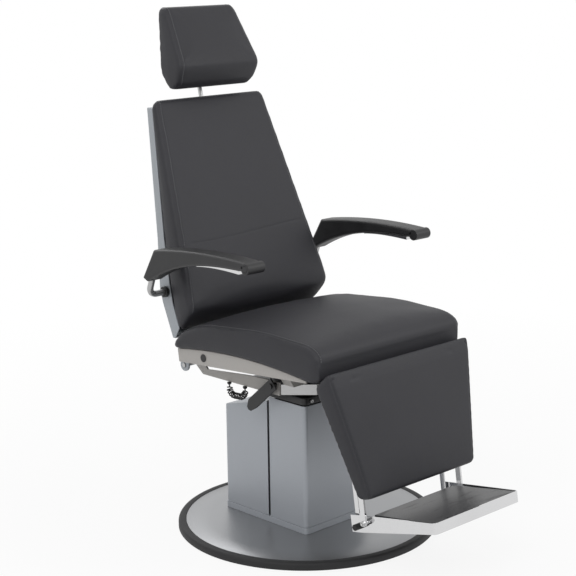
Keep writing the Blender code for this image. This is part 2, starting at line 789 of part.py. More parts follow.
def seat_rail(side, word):
    low, high = across(side, RAIL_FACE - RAIL_THICK, RAIL_FACE)
    piece("seat_rail_" + word, prism(rail_outline, low, high, "X", RAIL_ROUND, 1), "frame_paint", "swivel")
    low, high = across(side, RAIL_FACE + GAP, RAIL_FACE + GAP + RAIL_PLUG_PROUD)
    plug = cross_rod(RAIL_PLUG_AT, low, high, RAIL_PLUG_RADIUS)
    piece("rail_plug_" + word, plug, "black_plastic", "swivel")


both(seat_rail)

nose_start = SEAT_NOSE + SEAT_NOSE_LONG
seat_line = [(nose_start, SEAT_FRONT_TOP), SEAT_THIGH, SEAT_HIP, SEAT_RUMP, (SEAT_REAR, SEAT_REAR_TOP)]


def seat_ring(y):
    """A section across the seat, from its arched underside to its seam and crown."""
    low = eased([(SEAT_NOSE, SEAT_NOSE_LOW), (SEAT_NOSE + SEAT_LIP, seat_low(SEAT_NOSE + SEAT_LIP))], y)
    if y > SEAT_NOSE + SEAT_LIP:
        low = seat_low(y)
    top = eased(seat_line, max(y, nose_start))
    half = SEAT_HALF
    if y < nose_start:
        fall = 1 - math.sqrt(max(0.0, 1 - ((nose_start - y) / SEAT_NOSE_LONG) ** 2))
        top -= (SEAT_FRONT_TOP - SEAT_NOSE_TOP) * fall
        half -= SEAT_NOSE_DRAW * fall
    edge = min(1.0, (SEAT_REAR - y) / SEAT_NOSE_LONG, (y - SEAT_NOSE) / SEAT_NOSE_LONG)
    half -= SEAT_SEAM_ROUND * max(0.0, 1 - 6 * (SEAT_REAR - y) / SEAT_NOSE_LONG) ** 2
    return cushion_ring((y, low), (y, top), half, SEAT_SEAM_ROUND, SEAT_DRAW, SEAT_CROWN * edge)


seat_places = [SEAT_REAR, SEAT_REAR - 0.004, SEAT_REAR - 0.012] + spread(SEAT_REAR - 0.035, nose_start, 8)
seat_places += [nose_start - SEAT_NOSE_LONG * math.sin(math.pi / 2 * i / 5) for i in range(1, 6)]
piece("seat_cushion", skin([seat_ring(y) for y in seat_places]), "hide", "swivel")

# Turn brake lever on its pin
along = Vector((math.cos(LEVER_FALL), -math.sin(LEVER_FALL)))
over = Vector((math.sin(LEVER_FALL), math.cos(LEVER_FALL)))
tip = LEVER_LENGTH - LEVER_HEEL
side_w = LEVER_WIDTH / 2
lever_local = [
    (-LEVER_HEEL, -side_w),
    (0.72 * tip, -side_w),
    (0.95 * tip, -0.7 * side_w),
    (tip, -0.25 * side_w),
    (0.985 * tip, 0.3 * side_w),
    (0.83 * tip, side_w),
    (-LEVER_HEEL, side_w),
]
lever_outline = [tuple(Vector(LEVER_AT) + along * s + over * w) for s, w in lever_local]
lever_low, lever_high = LEVER_X - LEVER_THICK / 2, LEVER_X + LEVER_THICK / 2
lever_body = prism(lever_outline, lever_low, lever_high, "X", LEVER_ROUND, 1)
lever = piece("swivel_lever", lever_body, "black_plastic", "lever")
lever_bore = cross_rod(LEVER_AT, lever_low - SWING, lever_high + SWING, LEVER_PIN_RADIUS + RUN)
shape_with(lever, lever_bore, "DIFFERENCE", "lever")
pin_wide = LEVER_PIN_RADIUS + LEVER_PIN_HEAD
reach = [0, -lever_high - ARM_FACE - GAP - RUN, -lever_low - ARM_FACE - GAP + RUN]
reach.append(reach[2] + LEVER_PIN_HEAD)
lever_pin = [
    (0, 0),
    (pin_wide, 0),
    (pin_wide, reach[1]),
    (LEVER_PIN_RADIUS, reach[1]),
    (LEVER_PIN_RADIUS, reach[2]),
    (pin_wide, reach[2]),
    (pin_wide, reach[3]),
    (0, reach[3]),
]
piece("lever_pin", turned(lever_pin, (-ARM_FACE - GAP, *LEVER_AT), (-1, 0, 0), 20), "steel", "swivel")

# Back cushion, shell and hinge straps
rear_line = [(z, y) for y, z in (BACK_LOW_REAR, BACK_WAIST_REAR, BACK_MID_REAR, BACK_TOP_REAR)]
half_line = [(BACK_LOW_FRONT[1], BACK_HALF_LOW), (BACK_TOP_FRONT[1], BACK_HALF_TOP)]


def back_rear(z):
    return eased(rear_line, z)


def back_half(z):
    return eased(half_line, max(z, BACK_LOW_FRONT[1]))


def end_shares(span, count):
    """Shares along a cushion, closer together at its two rounded ends."""
    ends = [span * (1 - math.cos(math.pi / 2 * i / 3)) for i in range(4)]
    return ends + spread(2.5 * span, 1 - 2.5 * span, count) + [1 - share for share in reversed(ends)]


def end_round(share, span, by):
    """How far a cushion draws in where it turns over its end."""
    left = max(0.0, 1 - min(share, 1 - share) / span)
    return by * (1 - math.sqrt(1 - left * left))


def drawn(rear, front, by):
    """The front point moved towards the rear one."""
    way = Vector(rear) - Vector(front)
    return tuple(Vector(front) + way.normalized() * by)


def back_ring(share):
    rear_z = BACK_LOW_REAR[1] + (BACK_TOP_REAR[1] - BACK_LOW_REAR[1]) * share
    rear = (back_rear(rear_z), rear_z)
    by = end_round(share, BACK_END, BACK_END_ROUND)
    front = drawn(rear, blend(BACK_LOW_FRONT, BACK_TOP_FRONT, share), by)
    crown = BACK_CROWN * min(1.0, 8 * share, 8 * (1 - share))
    half = back_half(0.5 * (rear_z + front[1])) - by
    return cushion_ring(rear, front, half, BACK_SEAM_ROUND, BACK_DRAW, crown)


back_rings = [back_ring(share) for share in end_shares(BACK_END, 7)]
piece("back_cushion", skin(back_rings), "hide", "recline")

shell_step = 3 * GAP
hem_line = [(SHELL_LOW, SHELL_LOW_FRONT_Y), (SHELL_HEM, back_rear(SHELL_HEM) + shell_step)]
deep_line = [(SHELL_LOW, SHELL_LOW_DEEP), (SHELL_HEM, SHELL_HEM_DEEP)]
deep_line += [(BACK_WAIST_REAR[1], SHELL_WAIST_DEEP)]
deep_line += [(BACK_MID_REAR[1], SHELL_MID_DEEP), (SHELL_TOP, SHELL_TOP_DEEP)]


def shell_front(z):
    """The tray's open front, which runs to the rear below the cushion, behind the seat."""
    return eased(hem_line, z) if z < SHELL_HEM else back_rear(z) + shell_step


def shell_rear(z):
    return shell_front(z) + eased(deep_line, z)


def shell_ring(z, wall, ahead):
    """A section of the tray behind the back cushion, or of the hollow in it."""
    half = back_half(z) - SHELL_IN - wall
    front = shell_front(z) - ahead
    rear = shell_rear(z) - wall
    bend = SHELL_CORNER - wall
    flank = [(half, front)] + arc((half - bend, rear - bend), bend, 0, 90, 3)
    return [(x, y, z) for x, y in flank + [(-x, y) for x, y in reversed(flank)]]


bends = [SHELL_HEM, BACK_LOW_FRONT[1], BACK_WAIST_REAR[1], BACK_MID_REAR[1]]
shell_heights = [SHELL_LOW] + bends + [SHELL_TOP]
hollow_heights = [SHELL_LOW + SHELL_WALL] + bends + [SHELL_TOP - SHELL_WALL]
shell = piece("back_shell", skin([shell_ring(z, 0.0, 0.0) for z in shell_heights]), "pale_paint", "recline")
shell_hollow = skin([shell_ring(z, SHELL_WALL, SHELL_WALL) for z in hollow_heights])
shape_with(shell, shell_hollow, "DIFFERENCE", "recline")
post_bore = HEAD_POST_RADIUS + RUN
post_from, post_to = post_at(SHELL_TOP - 2 * SHELL_WALL), post_at(SHELL_TOP + 2 * SHELL_WALL)
shape_with(shell, rod((0, *post_from), (0, *post_to), post_bore), "DIFFERENCE", "recline")

strap_round = BACK_STRAP_HALF + SWING
strap_top = SHELL_LOW - GAP
strap_back = shell_rear(SHELL_LOW) - SHELL_WALL
strap_outline = arc(BACK_PIVOT, strap_round, 185, 365, 8)
strap_outline += [(strap_back, strap_top), (SHELL_LOW_FRONT_Y, strap_top)]


def back_strap(side, word):
    low, high = across(side, strap_near, strap_far)
    made = piece("back_strap_" + word, prism(strap_outline, low, high, "X"), "pale_paint", "recline")
    hole = cross_rod(BACK_PIVOT, low - SWING, high + SWING, BACK_PIN_RADIUS + RUN)
    shape_with(made, hole, "DIFFERENCE", "recline")


both(back_strap)

# Headrest guide, post, hinge and cushion
guide_top = SHELL_TOP - SHELL_WALL - GAP
guide_half = HEAD_POST_RADIUS + 2.5 * HEAD_GUIDE_WALL
guide_rings = []
for z in (guide_top - HEAD_GUIDE_LONG, guide_top):
    front, rear = back_rear(z) + 5 * GAP, shell_rear(z) - SHELL_WALL - GAP
    guide_rings.append(
        [(guide_half, front, z), (guide_half, rear, z), (-guide_half, rear, z), (-guide_half, front, z)]
    )
guide = piece("head_guide", skin(guide_rings), "black_plastic", "recline")
guide_from, guide_to = post_at(guide_top - HEAD_GUIDE_LONG - SWING), post_at(guide_top + SWING)
shape_with(guide, rod((0, *guide_from), (0, *guide_to), post_bore), "DIFFERENCE", "recline")

post_low = post_at(SHELL_TOP - HEAD_POST_BELOW)
post_rod = rod((0, *post_low), (0, *HEAD_PIVOT), HEAD_POST_RADIUS, 16)
post = piece("head_post", post_rod, "steel", "head_slide")
ear_near = HEAD_BRACKET_HALF + RUN
ear_far = ear_near + HEAD_EAR_THICK
pin_end = ear_far + HEAD_PIN_RADIUS / 2
bracket_profile = [
    (0, -pin_end),
    (HEAD_PIN_RADIUS, -pin_end),
    (HEAD_PIN_RADIUS, -HEAD_BRACKET_HALF),
    (HEAD_BRACKET_RADIUS, -HEAD_BRACKET_HALF),
    (HEAD_BRACKET_RADIUS, HEAD_BRACKET_HALF),
    (HEAD_PIN_RADIUS, HEAD_BRACKET_HALF),
    (HEAD_PIN_RADIUS, pin_end),
    (0, pin_end),
]
shape_with(post, turned(bracket_profile, (0, *HEAD_PIVOT), (1, 0, 0), 20), "UNION", "head_slide")

head_fold = HEAD_BOTTOM + HEAD_FOLD_RISE
head_nape = HEAD_BOTTOM + HEAD_NAPE_RISE
head_roll = HEAD_TOP - HEAD_ROLL_DROP
head_front = [
    (HEAD_BOTTOM, HEAD_FRONT_BOTTOM_Y),
    (head_fold, HEAD_FRONT_FOLD_Y),
    (HEAD_CHIN - HEAD_CHIN_HALF, HEAD_FRONT_CHIN_Y + HEAD_CHIN_ROUND),
    (HEAD_CHIN, HEAD_FRONT_CHIN_Y),
    (HEAD_CHIN + HEAD_CHIN_HALF, HEAD_FRONT_CHIN_Y + HEAD_CHIN_ROUND),
    (HEAD_TOP - HEAD_BROW_DROP, HEAD_FRONT_BROW_Y),
    (HEAD_TOP, HEAD_FRONT_TOP_Y),
]
head_rear = [
    (HEAD_BOTTOM, HEAD_REAR_BOTTOM_Y),
    (head_fold, HEAD_REAR_FOLD_Y),
    (head_nape, HEAD_REAR_NAPE_Y),
    (head_roll, HEAD_REAR_ROLL_Y),
    (HEAD_TOP, HEAD_REAR_TOP_Y),
]
head_half = [
    (HEAD_BOTTOM, HEAD_BOTTOM_HALF),
    (HEAD_CHIN - HEAD_SIDE_DROP, HEAD_HALF_LOW),
    (HEAD_CHIN, HEAD_HALF_LOW),
    (HEAD_TOP - HEAD_CORNER_DROP, HEAD_HALF_TOP),
    (HEAD_TOP, HEAD_HALF_TOP - HEAD_CORNER_DRAW),
]
head_places = [HEAD_BOTTOM, HEAD_BOTTOM + HEAD_FIRST_RISE, head_fold, HEAD_BOTTOM + HEAD_SWELL_RISE, head_nape]
head_places += [HEAD_CHIN - HEAD_CHIN_HALF, HEAD_CHIN]
head_places += spread(HEAD_CHIN + HEAD_CHIN_HALF, HEAD_TOP - HEAD_FACE_DROP, 4)
head_places += [head_roll, HEAD_TOP - HEAD_LAST_DROP, HEAD_TOP]
head_rings = []
for z in head_places:
    crown = HEAD_CROWN * min(1.0, 25 * (z - HEAD_BOTTOM), 25 * (HEAD_TOP - z))
    rear, front = (eased(head_rear, z), z), (eased(head_front, z), z)
    head_rings.append(cushion_ring(rear, front, eased(head_half, z), HEAD_SEAM_ROUND, HEAD_EDGE_DRAW, crown))
piece("head_cushion", skin(head_rings), "hide", "head_tilt")


def head_step(z, by):
    return (eased(head_rear, z) + 2 * GAP + by, z)


plate_line = spread(HEAD_PLATE_LOW, HEAD_PLATE_HIGH, 2)
plate_side = [head_step(z, 0) for z in plate_line]
plate_side += [head_step(z, HEAD_PLATE_THICK) for z in reversed(plate_line)]
head_plate = piece(
    "head_plate", prism(plate_side, -HEAD_PLATE_HALF, HEAD_PLATE_HALF, "X"), "black_plastic", "head_tilt"
)
ear_round = HEAD_BRACKET_RADIUS - HEAD_EAR_EASE
ear_outline = [
    head_step(HEAD_PIVOT_Z + HEAD_EAR_HALF, HEAD_PLATE_THICK / 2),
    head_step(HEAD_PIVOT_Z - HEAD_EAR_HALF, HEAD_PLATE_THICK / 2),
]
ear_outline += arc(HEAD_PIVOT, ear_round, -80, 80, 6)
for side in (-1, 1):
    low, high = across(side, ear_near, ear_far)
    shape_with(head_plate, prism(ear_outline, low, high, "X"), "UNION", "head_tilt")
for side in (-1, 1):
    low, high = across(side, ear_near - RUN / 2, ear_far + SWING)
    bore = cross_rod(HEAD_PIVOT, low, high, HEAD_PIN_RADIUS + RUN)
    shape_with(head_plate, bore, "DIFFERENCE", "head_tilt")


def filleted(corners, radius, steps=6):
    """A path of straight runs whose corners are rounded."""
    points = [Vector(corners[0])]
    for before, here, after in zip(corners, corners[1:], corners[2:]):
        here = Vector(here)
        back_way = (Vector(before) - here).normalized()
        next_way = (Vector(after) - here).normalized()
        half_angle = back_way.angle(next_way) / 2
        middle = here + (back_way + next_way).normalized() * (radius / math.sin(half_angle))
        start = here + back_way * (radius / math.tan(half_angle)) - middle
        end = here + next_way * (radius / math.tan(half_angle)) - middle
        sweep = start.angle(end)
        for i in range(steps + 1):
            share = i / steps
            a = math.sin((1 - share) * sweep) / math.sin(sweep)
            b = math.sin(share * sweep) / math.sin(sweep)
            points.append(middle + start * a + end * b)
    points.append(Vector(corners[-1]))
    return points


def tube(name, points, radius, look, on, resolution):
    """A round tube along a path, with closed ends."""
    curve = bpy.data.curves.new(name, "CURVE")
    curve.dimensions = "3D"
    curve.bevel_depth = radius
    curve.bevel_resolution = resolution
    curve.use_fill_caps = True
    spline = curve.splines.new("POLY")
    spline.points.add(len(points) - 1)
    for target, point in zip(spline.points, points):
        target.co = (*(Vector(point) - PLACES[on]), 1.0)
    spline.use_smooth = True
    return hang(name, curve, look, on)


# Armrests
under_from = ARM_SCROLL[0] + 0.8 * ARM_SCROLL_RADIUS


def arm_under(y):
    share = max(0.0, (y - under_from) / (ARM_HEEL[0] - under_from))
    return ARM_UNDER_Z - (ARM_UNDER_Z - ARM_HEEL[1]) * share**ARM_SWEEP


def arm_top(y):
    share = (y - ARM_SCROLL[0]) / (ARM_REAR_TOP[0] - ARM_SCROLL[0])
    front_z = ARM_SCROLL[1] + ARM_SCROLL_RADIUS
    return front_z + (ARM_REAR_TOP[1] - front_z) * share + 4 * ARM_TOP_RISE * share * (1 - share)


arm_outline = [(y, arm_top(y)) for y in spread(ARM_REAR_TOP[0], ARM_SCROLL[0] + ARM_SCROLL_RADIUS, 8)]
arm_outline += arc(ARM_SCROLL, ARM_SCROLL_RADIUS, 90, 310, 9)
under_line = [(y, arm_under(y)) for y in spread(under_from + ARM_SCROLL_RADIUS, ARM_HEEL[0], 9)]
arm_outline += under_line
arm_outline += [ARM_REAR_LOW]
strip_top = [(y, z - GAP) for y, z in under_line[:ARM_STRIP_RUNS]]
strip_outline = strip_top + [(y, z - ARM_STRIP_THICK) for y, z in reversed(strip_top)]
socket_from = back_half(ARM_PIVOT[1] - ARM_SOCKET_RADIUS) - SHELL_IN + GAP
heel_middle = blend(ARM_HEEL, ARM_REAR_LOW, 0.5)
heel_out = Vector((ARM_REAR_LOW[1] - ARM_HEEL[1], ARM_HEEL[0] - ARM_REAR_LOW[0])).normalized() * (2 * GAP)
tube_start = (heel_middle[0] + heel_out.x, heel_middle[1] + heel_out.y)
bend_out = (ARM_PIVOT[0] - tube_start[0], ARM_PIVOT[1] - tube_start[1])


def armrest(side, word):
    on = "armrest_" + word
    low, high = across(side, ARM_INNER, ARM_OUTER)
    piece("arm_pad_" + word, prism(arm_outline, low, high, "X", ARM_ROUND), "black_plastic", on)
    middle = (ARM_INNER + ARM_OUTER) / 2
    low, high = across(side, middle - ARM_STRIP_HALF, middle + ARM_STRIP_HALF)
    piece("arm_strip_" + word, prism(strip_outline, low, high, "X"), "chrome", on)
    corners = [
        (side * ARM_TUBE_X, *tube_start),
        (side * ARM_TUBE_X, *ARM_PIVOT),
        (side * (socket_from + RUN), *ARM_PIVOT),
    ]
    tube("arm_tube_" + word, filleted(corners, ARM_TUBE_BEND), ARM_TUBE_RADIUS, "chrome", on, 3)
    ring = [
        (ARM_TUBE_RADIUS + RUN, 0),
        (ARM_SOCKET_RADIUS, 0),
        (ARM_SOCKET_RADIUS, ARM_SOCKET_LONG),
        (ARM_TUBE_RADIUS + RUN, ARM_SOCKET_LONG),
    ]
    at = (side * socket_from, *ARM_PIVOT)
    piece("arm_socket_" + word, turned(ring, at, (side, 0, 0), 24, ring=True), "black_plastic", "recline")


both(armrest)

# Leg rest: cushion, pan and bars
foot_way = Vector((-math.cos(FOOT_SLOPE), math.sin(FOOT_SLOPE)))
foot_up = Vector((math.sin(FOOT_SLOPE), math.cos(FOOT_SLOPE)))


def foot_half(s):
    """Half the width over the foot frame's sides, which open a little to the rear."""
    share = (s + FOOT_EAR) / (FOOT_LENGTH - FOOT_CORNER + FOOT_EAR)
    return FOOT_REAR_HALF + (FOOT_FRONT_HALF - FOOT_REAR_HALF) * share


def foot_at(x, s, n):
    """A point counted from the foot pivot: out, forward along the slope, and up from it."""
    place = Vector(FOOT_PIVOT) + foot_way * s + foot_up * n
    return (x, place.x, place.y)


def leg_ring(share):
    by = end_round(share, LEG_END, LEG_END_ROUND)
    rear = blend(LEG_TOP_REAR, LEG_LOW_REAR, share)
    front = drawn(rear, blend(LEG_TOP_FRONT, LEG_LOW_FRONT, share), by)
    half = LEG_HALF_TOP + (LEG_HALF_LOW - LEG_HALF_TOP) * share - by
    crown = LEG_CROWN * min(1.0, 8 * share, 8 * (1 - share))
    return cushion_ring(rear, front, half, LEG_SEAM_ROUND, LEG_DRAW, crown)


leg = piece("leg_cushion", skin([leg_ring(share) for share in end_shares(LEG_END, 6)]), "hide", "leg")
notch_top = (LEG_PIVOT[0] - NOTCH_FRONT - 0.001, LEG_PIVOT[1] + LEG_BAR_HALF)
notch_rise = 0.060
notch = [
    notch_top,
    (FOOT_PIVOT[0] - NOTCH_FRONT, FOOT_PIVOT[1]),
    (FOOT_PIVOT[0] + 3 * notch_rise, FOOT_PIVOT[1]),
    (LEG_PIVOT[0] + 3 * notch_rise, notch_top[1] + 0.73 * notch_rise),
    (notch_top[0] + 0.68 * notch_rise, notch_top[1] + 0.73 * notch_rise),
]
for side in (-1, 1):
    low, high = across(side, LINK_X - NOTCH_SIDE, LEG_BAR_X + LEG_BAR_THICK + NOTCH_SIDE)
    shape_with(leg, prism(notch, low, high, "X"), "DIFFERENCE", "leg")

leg_way = (Vector(LEG_LOW_REAR) - Vector(LEG_TOP_REAR)).normalized()
leg_back = Vector((-leg_way.y, leg_way.x))
pan_points = [Vector(blend(LEG_TOP_REAR, LEG_LOW_REAR, share)) for share in (LEG_PAN_FROM, LEG_PAN_TO)]
leg_pan = [tuple(p + leg_back * GAP) for p in pan_points]
leg_pan += [tuple(p + leg_back * (GAP + LEG_PAN_THICK)) for p in reversed(pan_points)]
leg_pan_half = LEG_BAR_X - GAP
piece("leg_pan", prism(leg_pan, -leg_pan_half, leg_pan_half, "X"), "black_plastic", "leg")
bar_outline = strap([LEG_PIVOT, FOOT_PIVOT], LEG_BAR_HALF)
bar_far = LEG_BAR_X + LEG_BAR_THICK
bite_in = 0.001
link_s = (Vector(LINK_FOOT) - Vector(FOOT_PIVOT)).dot(foot_way)


def leg_bar(side, word):
    low, high = across(side, LEG_BAR_X, bar_far)
    bar = piece("leg_bar_" + word, prism(bar_outline, low, high, "X"), "chrome", "leg")
    low, high = across(side, LUG_X - bite_in, LEG_BAR_X + bite_in)
    shape_with(bar, cross_rod(LEG_PIVOT, low, high, LEG_PIN_RADIUS), "UNION", "leg")
    low, high = across(side, foot_half(0) - FOOT_WALL - bite_in, LEG_BAR_X + bite_in)
    shape_with(bar, cross_rod(FOOT_PIVOT, low, high, FOOT_PIN_RADIUS), "UNION", "leg")
    low, high = across(side, bar_far - bite_in, bar_far + LEVER_PIN_HEAD)
    shape_with(bar, cross_rod(FOOT_PIVOT, low, high, LEG_BAR_HALF - bite_in, 12), "UNION", "leg")


both(leg_bar)

neck = (Vector(LEG_PIVOT) - Vector(LINK_TOP)).normalized()
neck_side = Vector((-neck.y, neck.x)) * LUG_HALF
neck_angle = math.degrees(math.atan2(neck.y, neck.x))
lug_outline = [(LUG_ROOT, pan_low(LUG_ROOT) - LUG_DEEP), tuple(Vector(LINK_TOP) + neck_side)]
lug_outline += arc(LEG_PIVOT, LUG_HALF, neck_angle + 90, neck_angle - 90, 6)
lug_outline += [tuple(Vector(LINK_TOP) - neck_side)]
lug_outline += [(y, pan_low(y) - GAP) for y in spread(PAN_FRONT, LUG_ROOT, 5)]


def leg_lug(side, word):
    low, high = across(side, LUG_X, LUG_X + LUG_THICK)
    lug = piece("leg_lug_" + word, prism(lug_outline, low, high, "X"), "frame_paint", "swivel")
    for at, radius in ((LEG_PIVOT, LEG_PIN_RADIUS), (LINK_TOP, FOOT_PIN_RADIUS)):
        bore = cross_rod(at, low - SWING, high + SWING, radius + RUN)
        shape_with(lug, bore, "DIFFERENCE", "swivel")


both(leg_lug)

# Parallel links behind the leg rest
link_outline = strap([LINK_TOP, LINK_FOOT], LINK_HALF)
link_far = LINK_X + LINK_THICK


def link_bar(side, word):
    low, high = across(side, LINK_X, link_far)
    link = piece("link_bar_" + word, prism(link_outline, low, high, "X"), "chrome", "foot_link")
    low, high = across(side, link_far - bite_in, LUG_X + LUG_THICK + bite_in)
    shape_with(link, cross_rod(LINK_TOP, low, high, FOOT_PIN_RADIUS), "UNION", "foot_link")
    low, high = across(side, link_far - bite_in, foot_half(link_s) + bite_in)
    shape_with(link, cross_rod(LINK_FOOT, low, high, FOOT_PIN_RADIUS), "UNION", "foot_link")


both(link_bar)

# Foot rest: frame, tread and rubber stops
ear_line = [
    (-FOOT_EAR, -FOOT_EAR_DEEP),
    (-0.5 * FOOT_EAR, -FOOT_EAR_DEEP),
    (-0.15 * FOOT_EAR, FOOT_BELOW_TOP - FOOT_HEIGHT),
    (FOOT_LENGTH, FOOT_BELOW_TOP - FOOT_HEIGHT),
]


def foot_path(wall):
    flank = [(foot_half(s) - wall, s) for s, _ in ear_line[:3]]
    middle = (FOOT_FRONT_HALF - FOOT_CORNER, FOOT_LENGTH - FOOT_CORNER)
    flank += arc(middle, FOOT_CORNER - wall, 0, 90, 4)
    return flank + [(-x, s) for x, s in reversed(flank)]


foot_plan = foot_path(0.0) + foot_path(FOOT_WALL)[::-1]
foot_rings = [
    [foot_at(x, s, eased(ear_line, s)) for x, s in foot_plan],
    [foot_at(x, s, FOOT_BELOW_TOP) for x, s in foot_plan],
]
frame = piece("foot_frame", skin(foot_rings), "chrome", "foot")
for side in (-1, 1):
    for at, run in ((FOOT_PIVOT, RUN), (LINK_FOOT, FOOT_OPEN_RUN)):
        low, high = across(side, LINK_X, LEG_BAR_X + bite_in)
        shape_with(frame, cross_rod(at, low, high, FOOT_PIN_RADIUS + run), "DIFFERENCE", "foot")

tread_half = FOOT_FRONT_HALF - FOOT_WALL - GAP
tread_front = FOOT_LENGTH - FOOT_WALL - GAP
tread_cut = 0.6 * FOOT_CORNER
tread_flank = [
    (TREAD_REAR_HALF, TREAD_REAR),
    (tread_half, tread_front - tread_cut),
    (tread_half - tread_cut, tread_front),
]
tread_plan = tread_flank + [(-x, s) for x, s in reversed(tread_flank)]
tread_top = FOOT_BELOW_TOP - TREAD_SINK
tread_rings = [[foot_at(x, s, n) for x, s in tread_plan] for n in (tread_top - TREAD_THICK, tread_top)]
piece("foot_tread", skin(tread_rings), "rubber", "foot")


def foot_stop(side, word):
    outside = foot_half(-STOP_BACK - STOP_RADIUS) + GAP
    low, high = across(side, outside, outside + STOP_LONG)
    at = foot_at(0.0, -STOP_BACK, -STOP_DOWN)[1:]
    piece("foot_stop_" + word, cross_rod(at, low, high, STOP_RADIUS, 16), "rubber", "foot")


both(foot_stop)

# Curly cord and its two glands
gland_top = CARRIER_BOTTOM - GAP
gland_low = gland_top - GLAND_LONG
cord_top = gland_low - GAP
for y, word in ((CORD_REAR, "rear"), (CORD_FRONT, "front")):
    gland = rod((CORD_X, y, gland_top), (CORD_X, y, gland_low), GLAND_RADIUS, 16)
    piece("cord_gland_" + word, gland, "black_plastic", "swivel")
cord_corners = [
    (CORD_X, CORD_REAR, cord_top),
    (CORD_X, CORD_REAR, cord_top - CORD_DROP),
    (CORD_X, CORD_FRONT, cord_top - CORD_DROP + CORD_FRONT_RISE),
    (CORD_X, CORD_FRONT, cord_top),
]
cord_line = filleted(cord_corners, CORD_BEND, CORD_BEND_STEPS)
cord_runs = [(b - a).length for a, b in zip(cord_line, cord_line[1:])]
cord_long = sum(cord_runs)


def on_line(distance):
    """The point of the cord's middle line at a distance from its start, and its direction."""
    for i, run in enumerate(cord_runs):
        if distance <= run or i == len(cord_runs) - 1:
            way = (cord_line[i + 1] - cord_line[i]).normalized()
            return cord_line[i] + way * distance, way
        distance -= run


def curl_point(distance):
    """A point of the curls: they open from the straight lead and close to it again."""
    middle, way = on_line(distance)
    turn = 2 * math.pi * (distance - CORD_LEAD) / CURL_PITCH
    grow = max(0.0, min(1.0, (distance - CORD_LEAD) / CORD_RAMP, (cord_long - CORD_LEAD - distance) / CORD_RAMP))
    radius = CURL_RADIUS * grow * grow * (3 - 2 * grow)
    outward = Vector((1, 0, 0))
    return middle + (outward * math.cos(turn) + way.cross(outward) * math.sin(turn)) * radius


curl_count = round((cord_long - 2 * CORD_LEAD) / CURL_PITCH * CURL_POINTS)
curls = [curl_point(CORD_LEAD + (cord_long - 2 * CORD_LEAD) * i / curl_count) for i in range(curl_count + 1)]
cord_points = [cord_line[0]] + curls + [cord_line[-1]]
tube("curly_cord", cord_points, CORD_RADIUS, "black_plastic", "swivel", 1)
least = min(
    (a - b).length
    for i, a in enumerate(curls)
    for b in curls[i + CURL_POINTS // 2 + 2 :]
)
print(f"curly cord: least gap to itself {1000 * (least - 2 * CORD_RADIUS):.2f} mm")
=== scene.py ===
"""Dresses an ear, nose and throat examination chair: padding, seams, metalwork and a plain studio."""

import json
import math

import bmesh
import bpy
from bpy.props import FloatProperty, FloatVectorProperty, IntProperty, PointerProperty
from mathutils import Matrix, Vector
from mathutils.bvhtree import BVHTree
from mathutils.kdtree import KDTree

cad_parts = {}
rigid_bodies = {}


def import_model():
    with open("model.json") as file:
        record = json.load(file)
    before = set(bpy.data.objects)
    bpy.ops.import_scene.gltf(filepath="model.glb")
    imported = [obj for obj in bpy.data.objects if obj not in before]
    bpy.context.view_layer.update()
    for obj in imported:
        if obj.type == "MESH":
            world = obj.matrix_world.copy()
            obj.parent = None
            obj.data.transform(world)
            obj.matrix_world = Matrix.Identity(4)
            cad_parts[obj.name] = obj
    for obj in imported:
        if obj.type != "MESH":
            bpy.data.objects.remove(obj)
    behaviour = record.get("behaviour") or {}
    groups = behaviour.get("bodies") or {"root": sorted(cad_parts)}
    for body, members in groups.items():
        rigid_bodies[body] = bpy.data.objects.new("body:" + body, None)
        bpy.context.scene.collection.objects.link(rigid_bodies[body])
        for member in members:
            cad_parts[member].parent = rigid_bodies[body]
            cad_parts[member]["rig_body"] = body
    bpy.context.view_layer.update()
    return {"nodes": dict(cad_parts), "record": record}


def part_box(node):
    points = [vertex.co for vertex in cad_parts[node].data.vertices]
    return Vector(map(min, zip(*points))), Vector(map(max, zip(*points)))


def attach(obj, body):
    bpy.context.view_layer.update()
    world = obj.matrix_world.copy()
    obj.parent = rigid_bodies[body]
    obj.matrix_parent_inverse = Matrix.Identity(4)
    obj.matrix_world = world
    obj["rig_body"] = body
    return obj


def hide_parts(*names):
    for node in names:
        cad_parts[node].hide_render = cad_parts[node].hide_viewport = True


bl_info = {
    "name": "Examination Chair Dressing",
    "version": (1, 0, 0),
    "blender": (4, 5, 0),
    "location": "3D View > Sidebar > Chair",
    "description": "Adds padding, stitching, metalwork and a studio to an examination chair",
    "category": "Object",
}

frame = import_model()
BODY_OF = {
    node: body for body, nodes in frame["record"]["behaviour"]["bodies"].items() for node in nodes
}
SIDES = ((-1, "left"), (1, "right"))
UP = (0, 0, 1)

# Joining and rounding of the solids
WELD = 5e-6
FLAT = math.radians(0.8)
SHARP = math.radians(38)
FINE = 0.0004
SMALL = 0.0006
MOULDED = 0.0008
FOLDED = 0.0010
CAST = 0.0012

# Padding: how squarely a point faces what carries the pad before it rests there, and how that fades
RESTS = 0.6
FADE = 0.4

# Rays that find the skin of a pad start this far out, and a side panel is met this far behind the front
AFAR = 2.0
FLANK = 0.022

# A seam that goes over the top of a pad goes on this far behind the front, in so many points
TOP_STEP = 0.006
TOP_POINTS = 8

# Share of its thread's thickness that the middle of a stitch lies above the skin
STITCH_PROUD = 0.15


def tint(name, about, value):
    """A colour that the panel offers."""
    return FloatVectorProperty(
        name=name, description=about, subtype="COLOR", size=3, min=0.0, max=1.0, default=value
    )


def span(name, about, value):
    """A length that the panel offers, in metres."""
    return FloatProperty(
        name=name, description=about, subtype="DISTANCE", unit="LENGTH", min=0.0, default=value, precision=5
    )


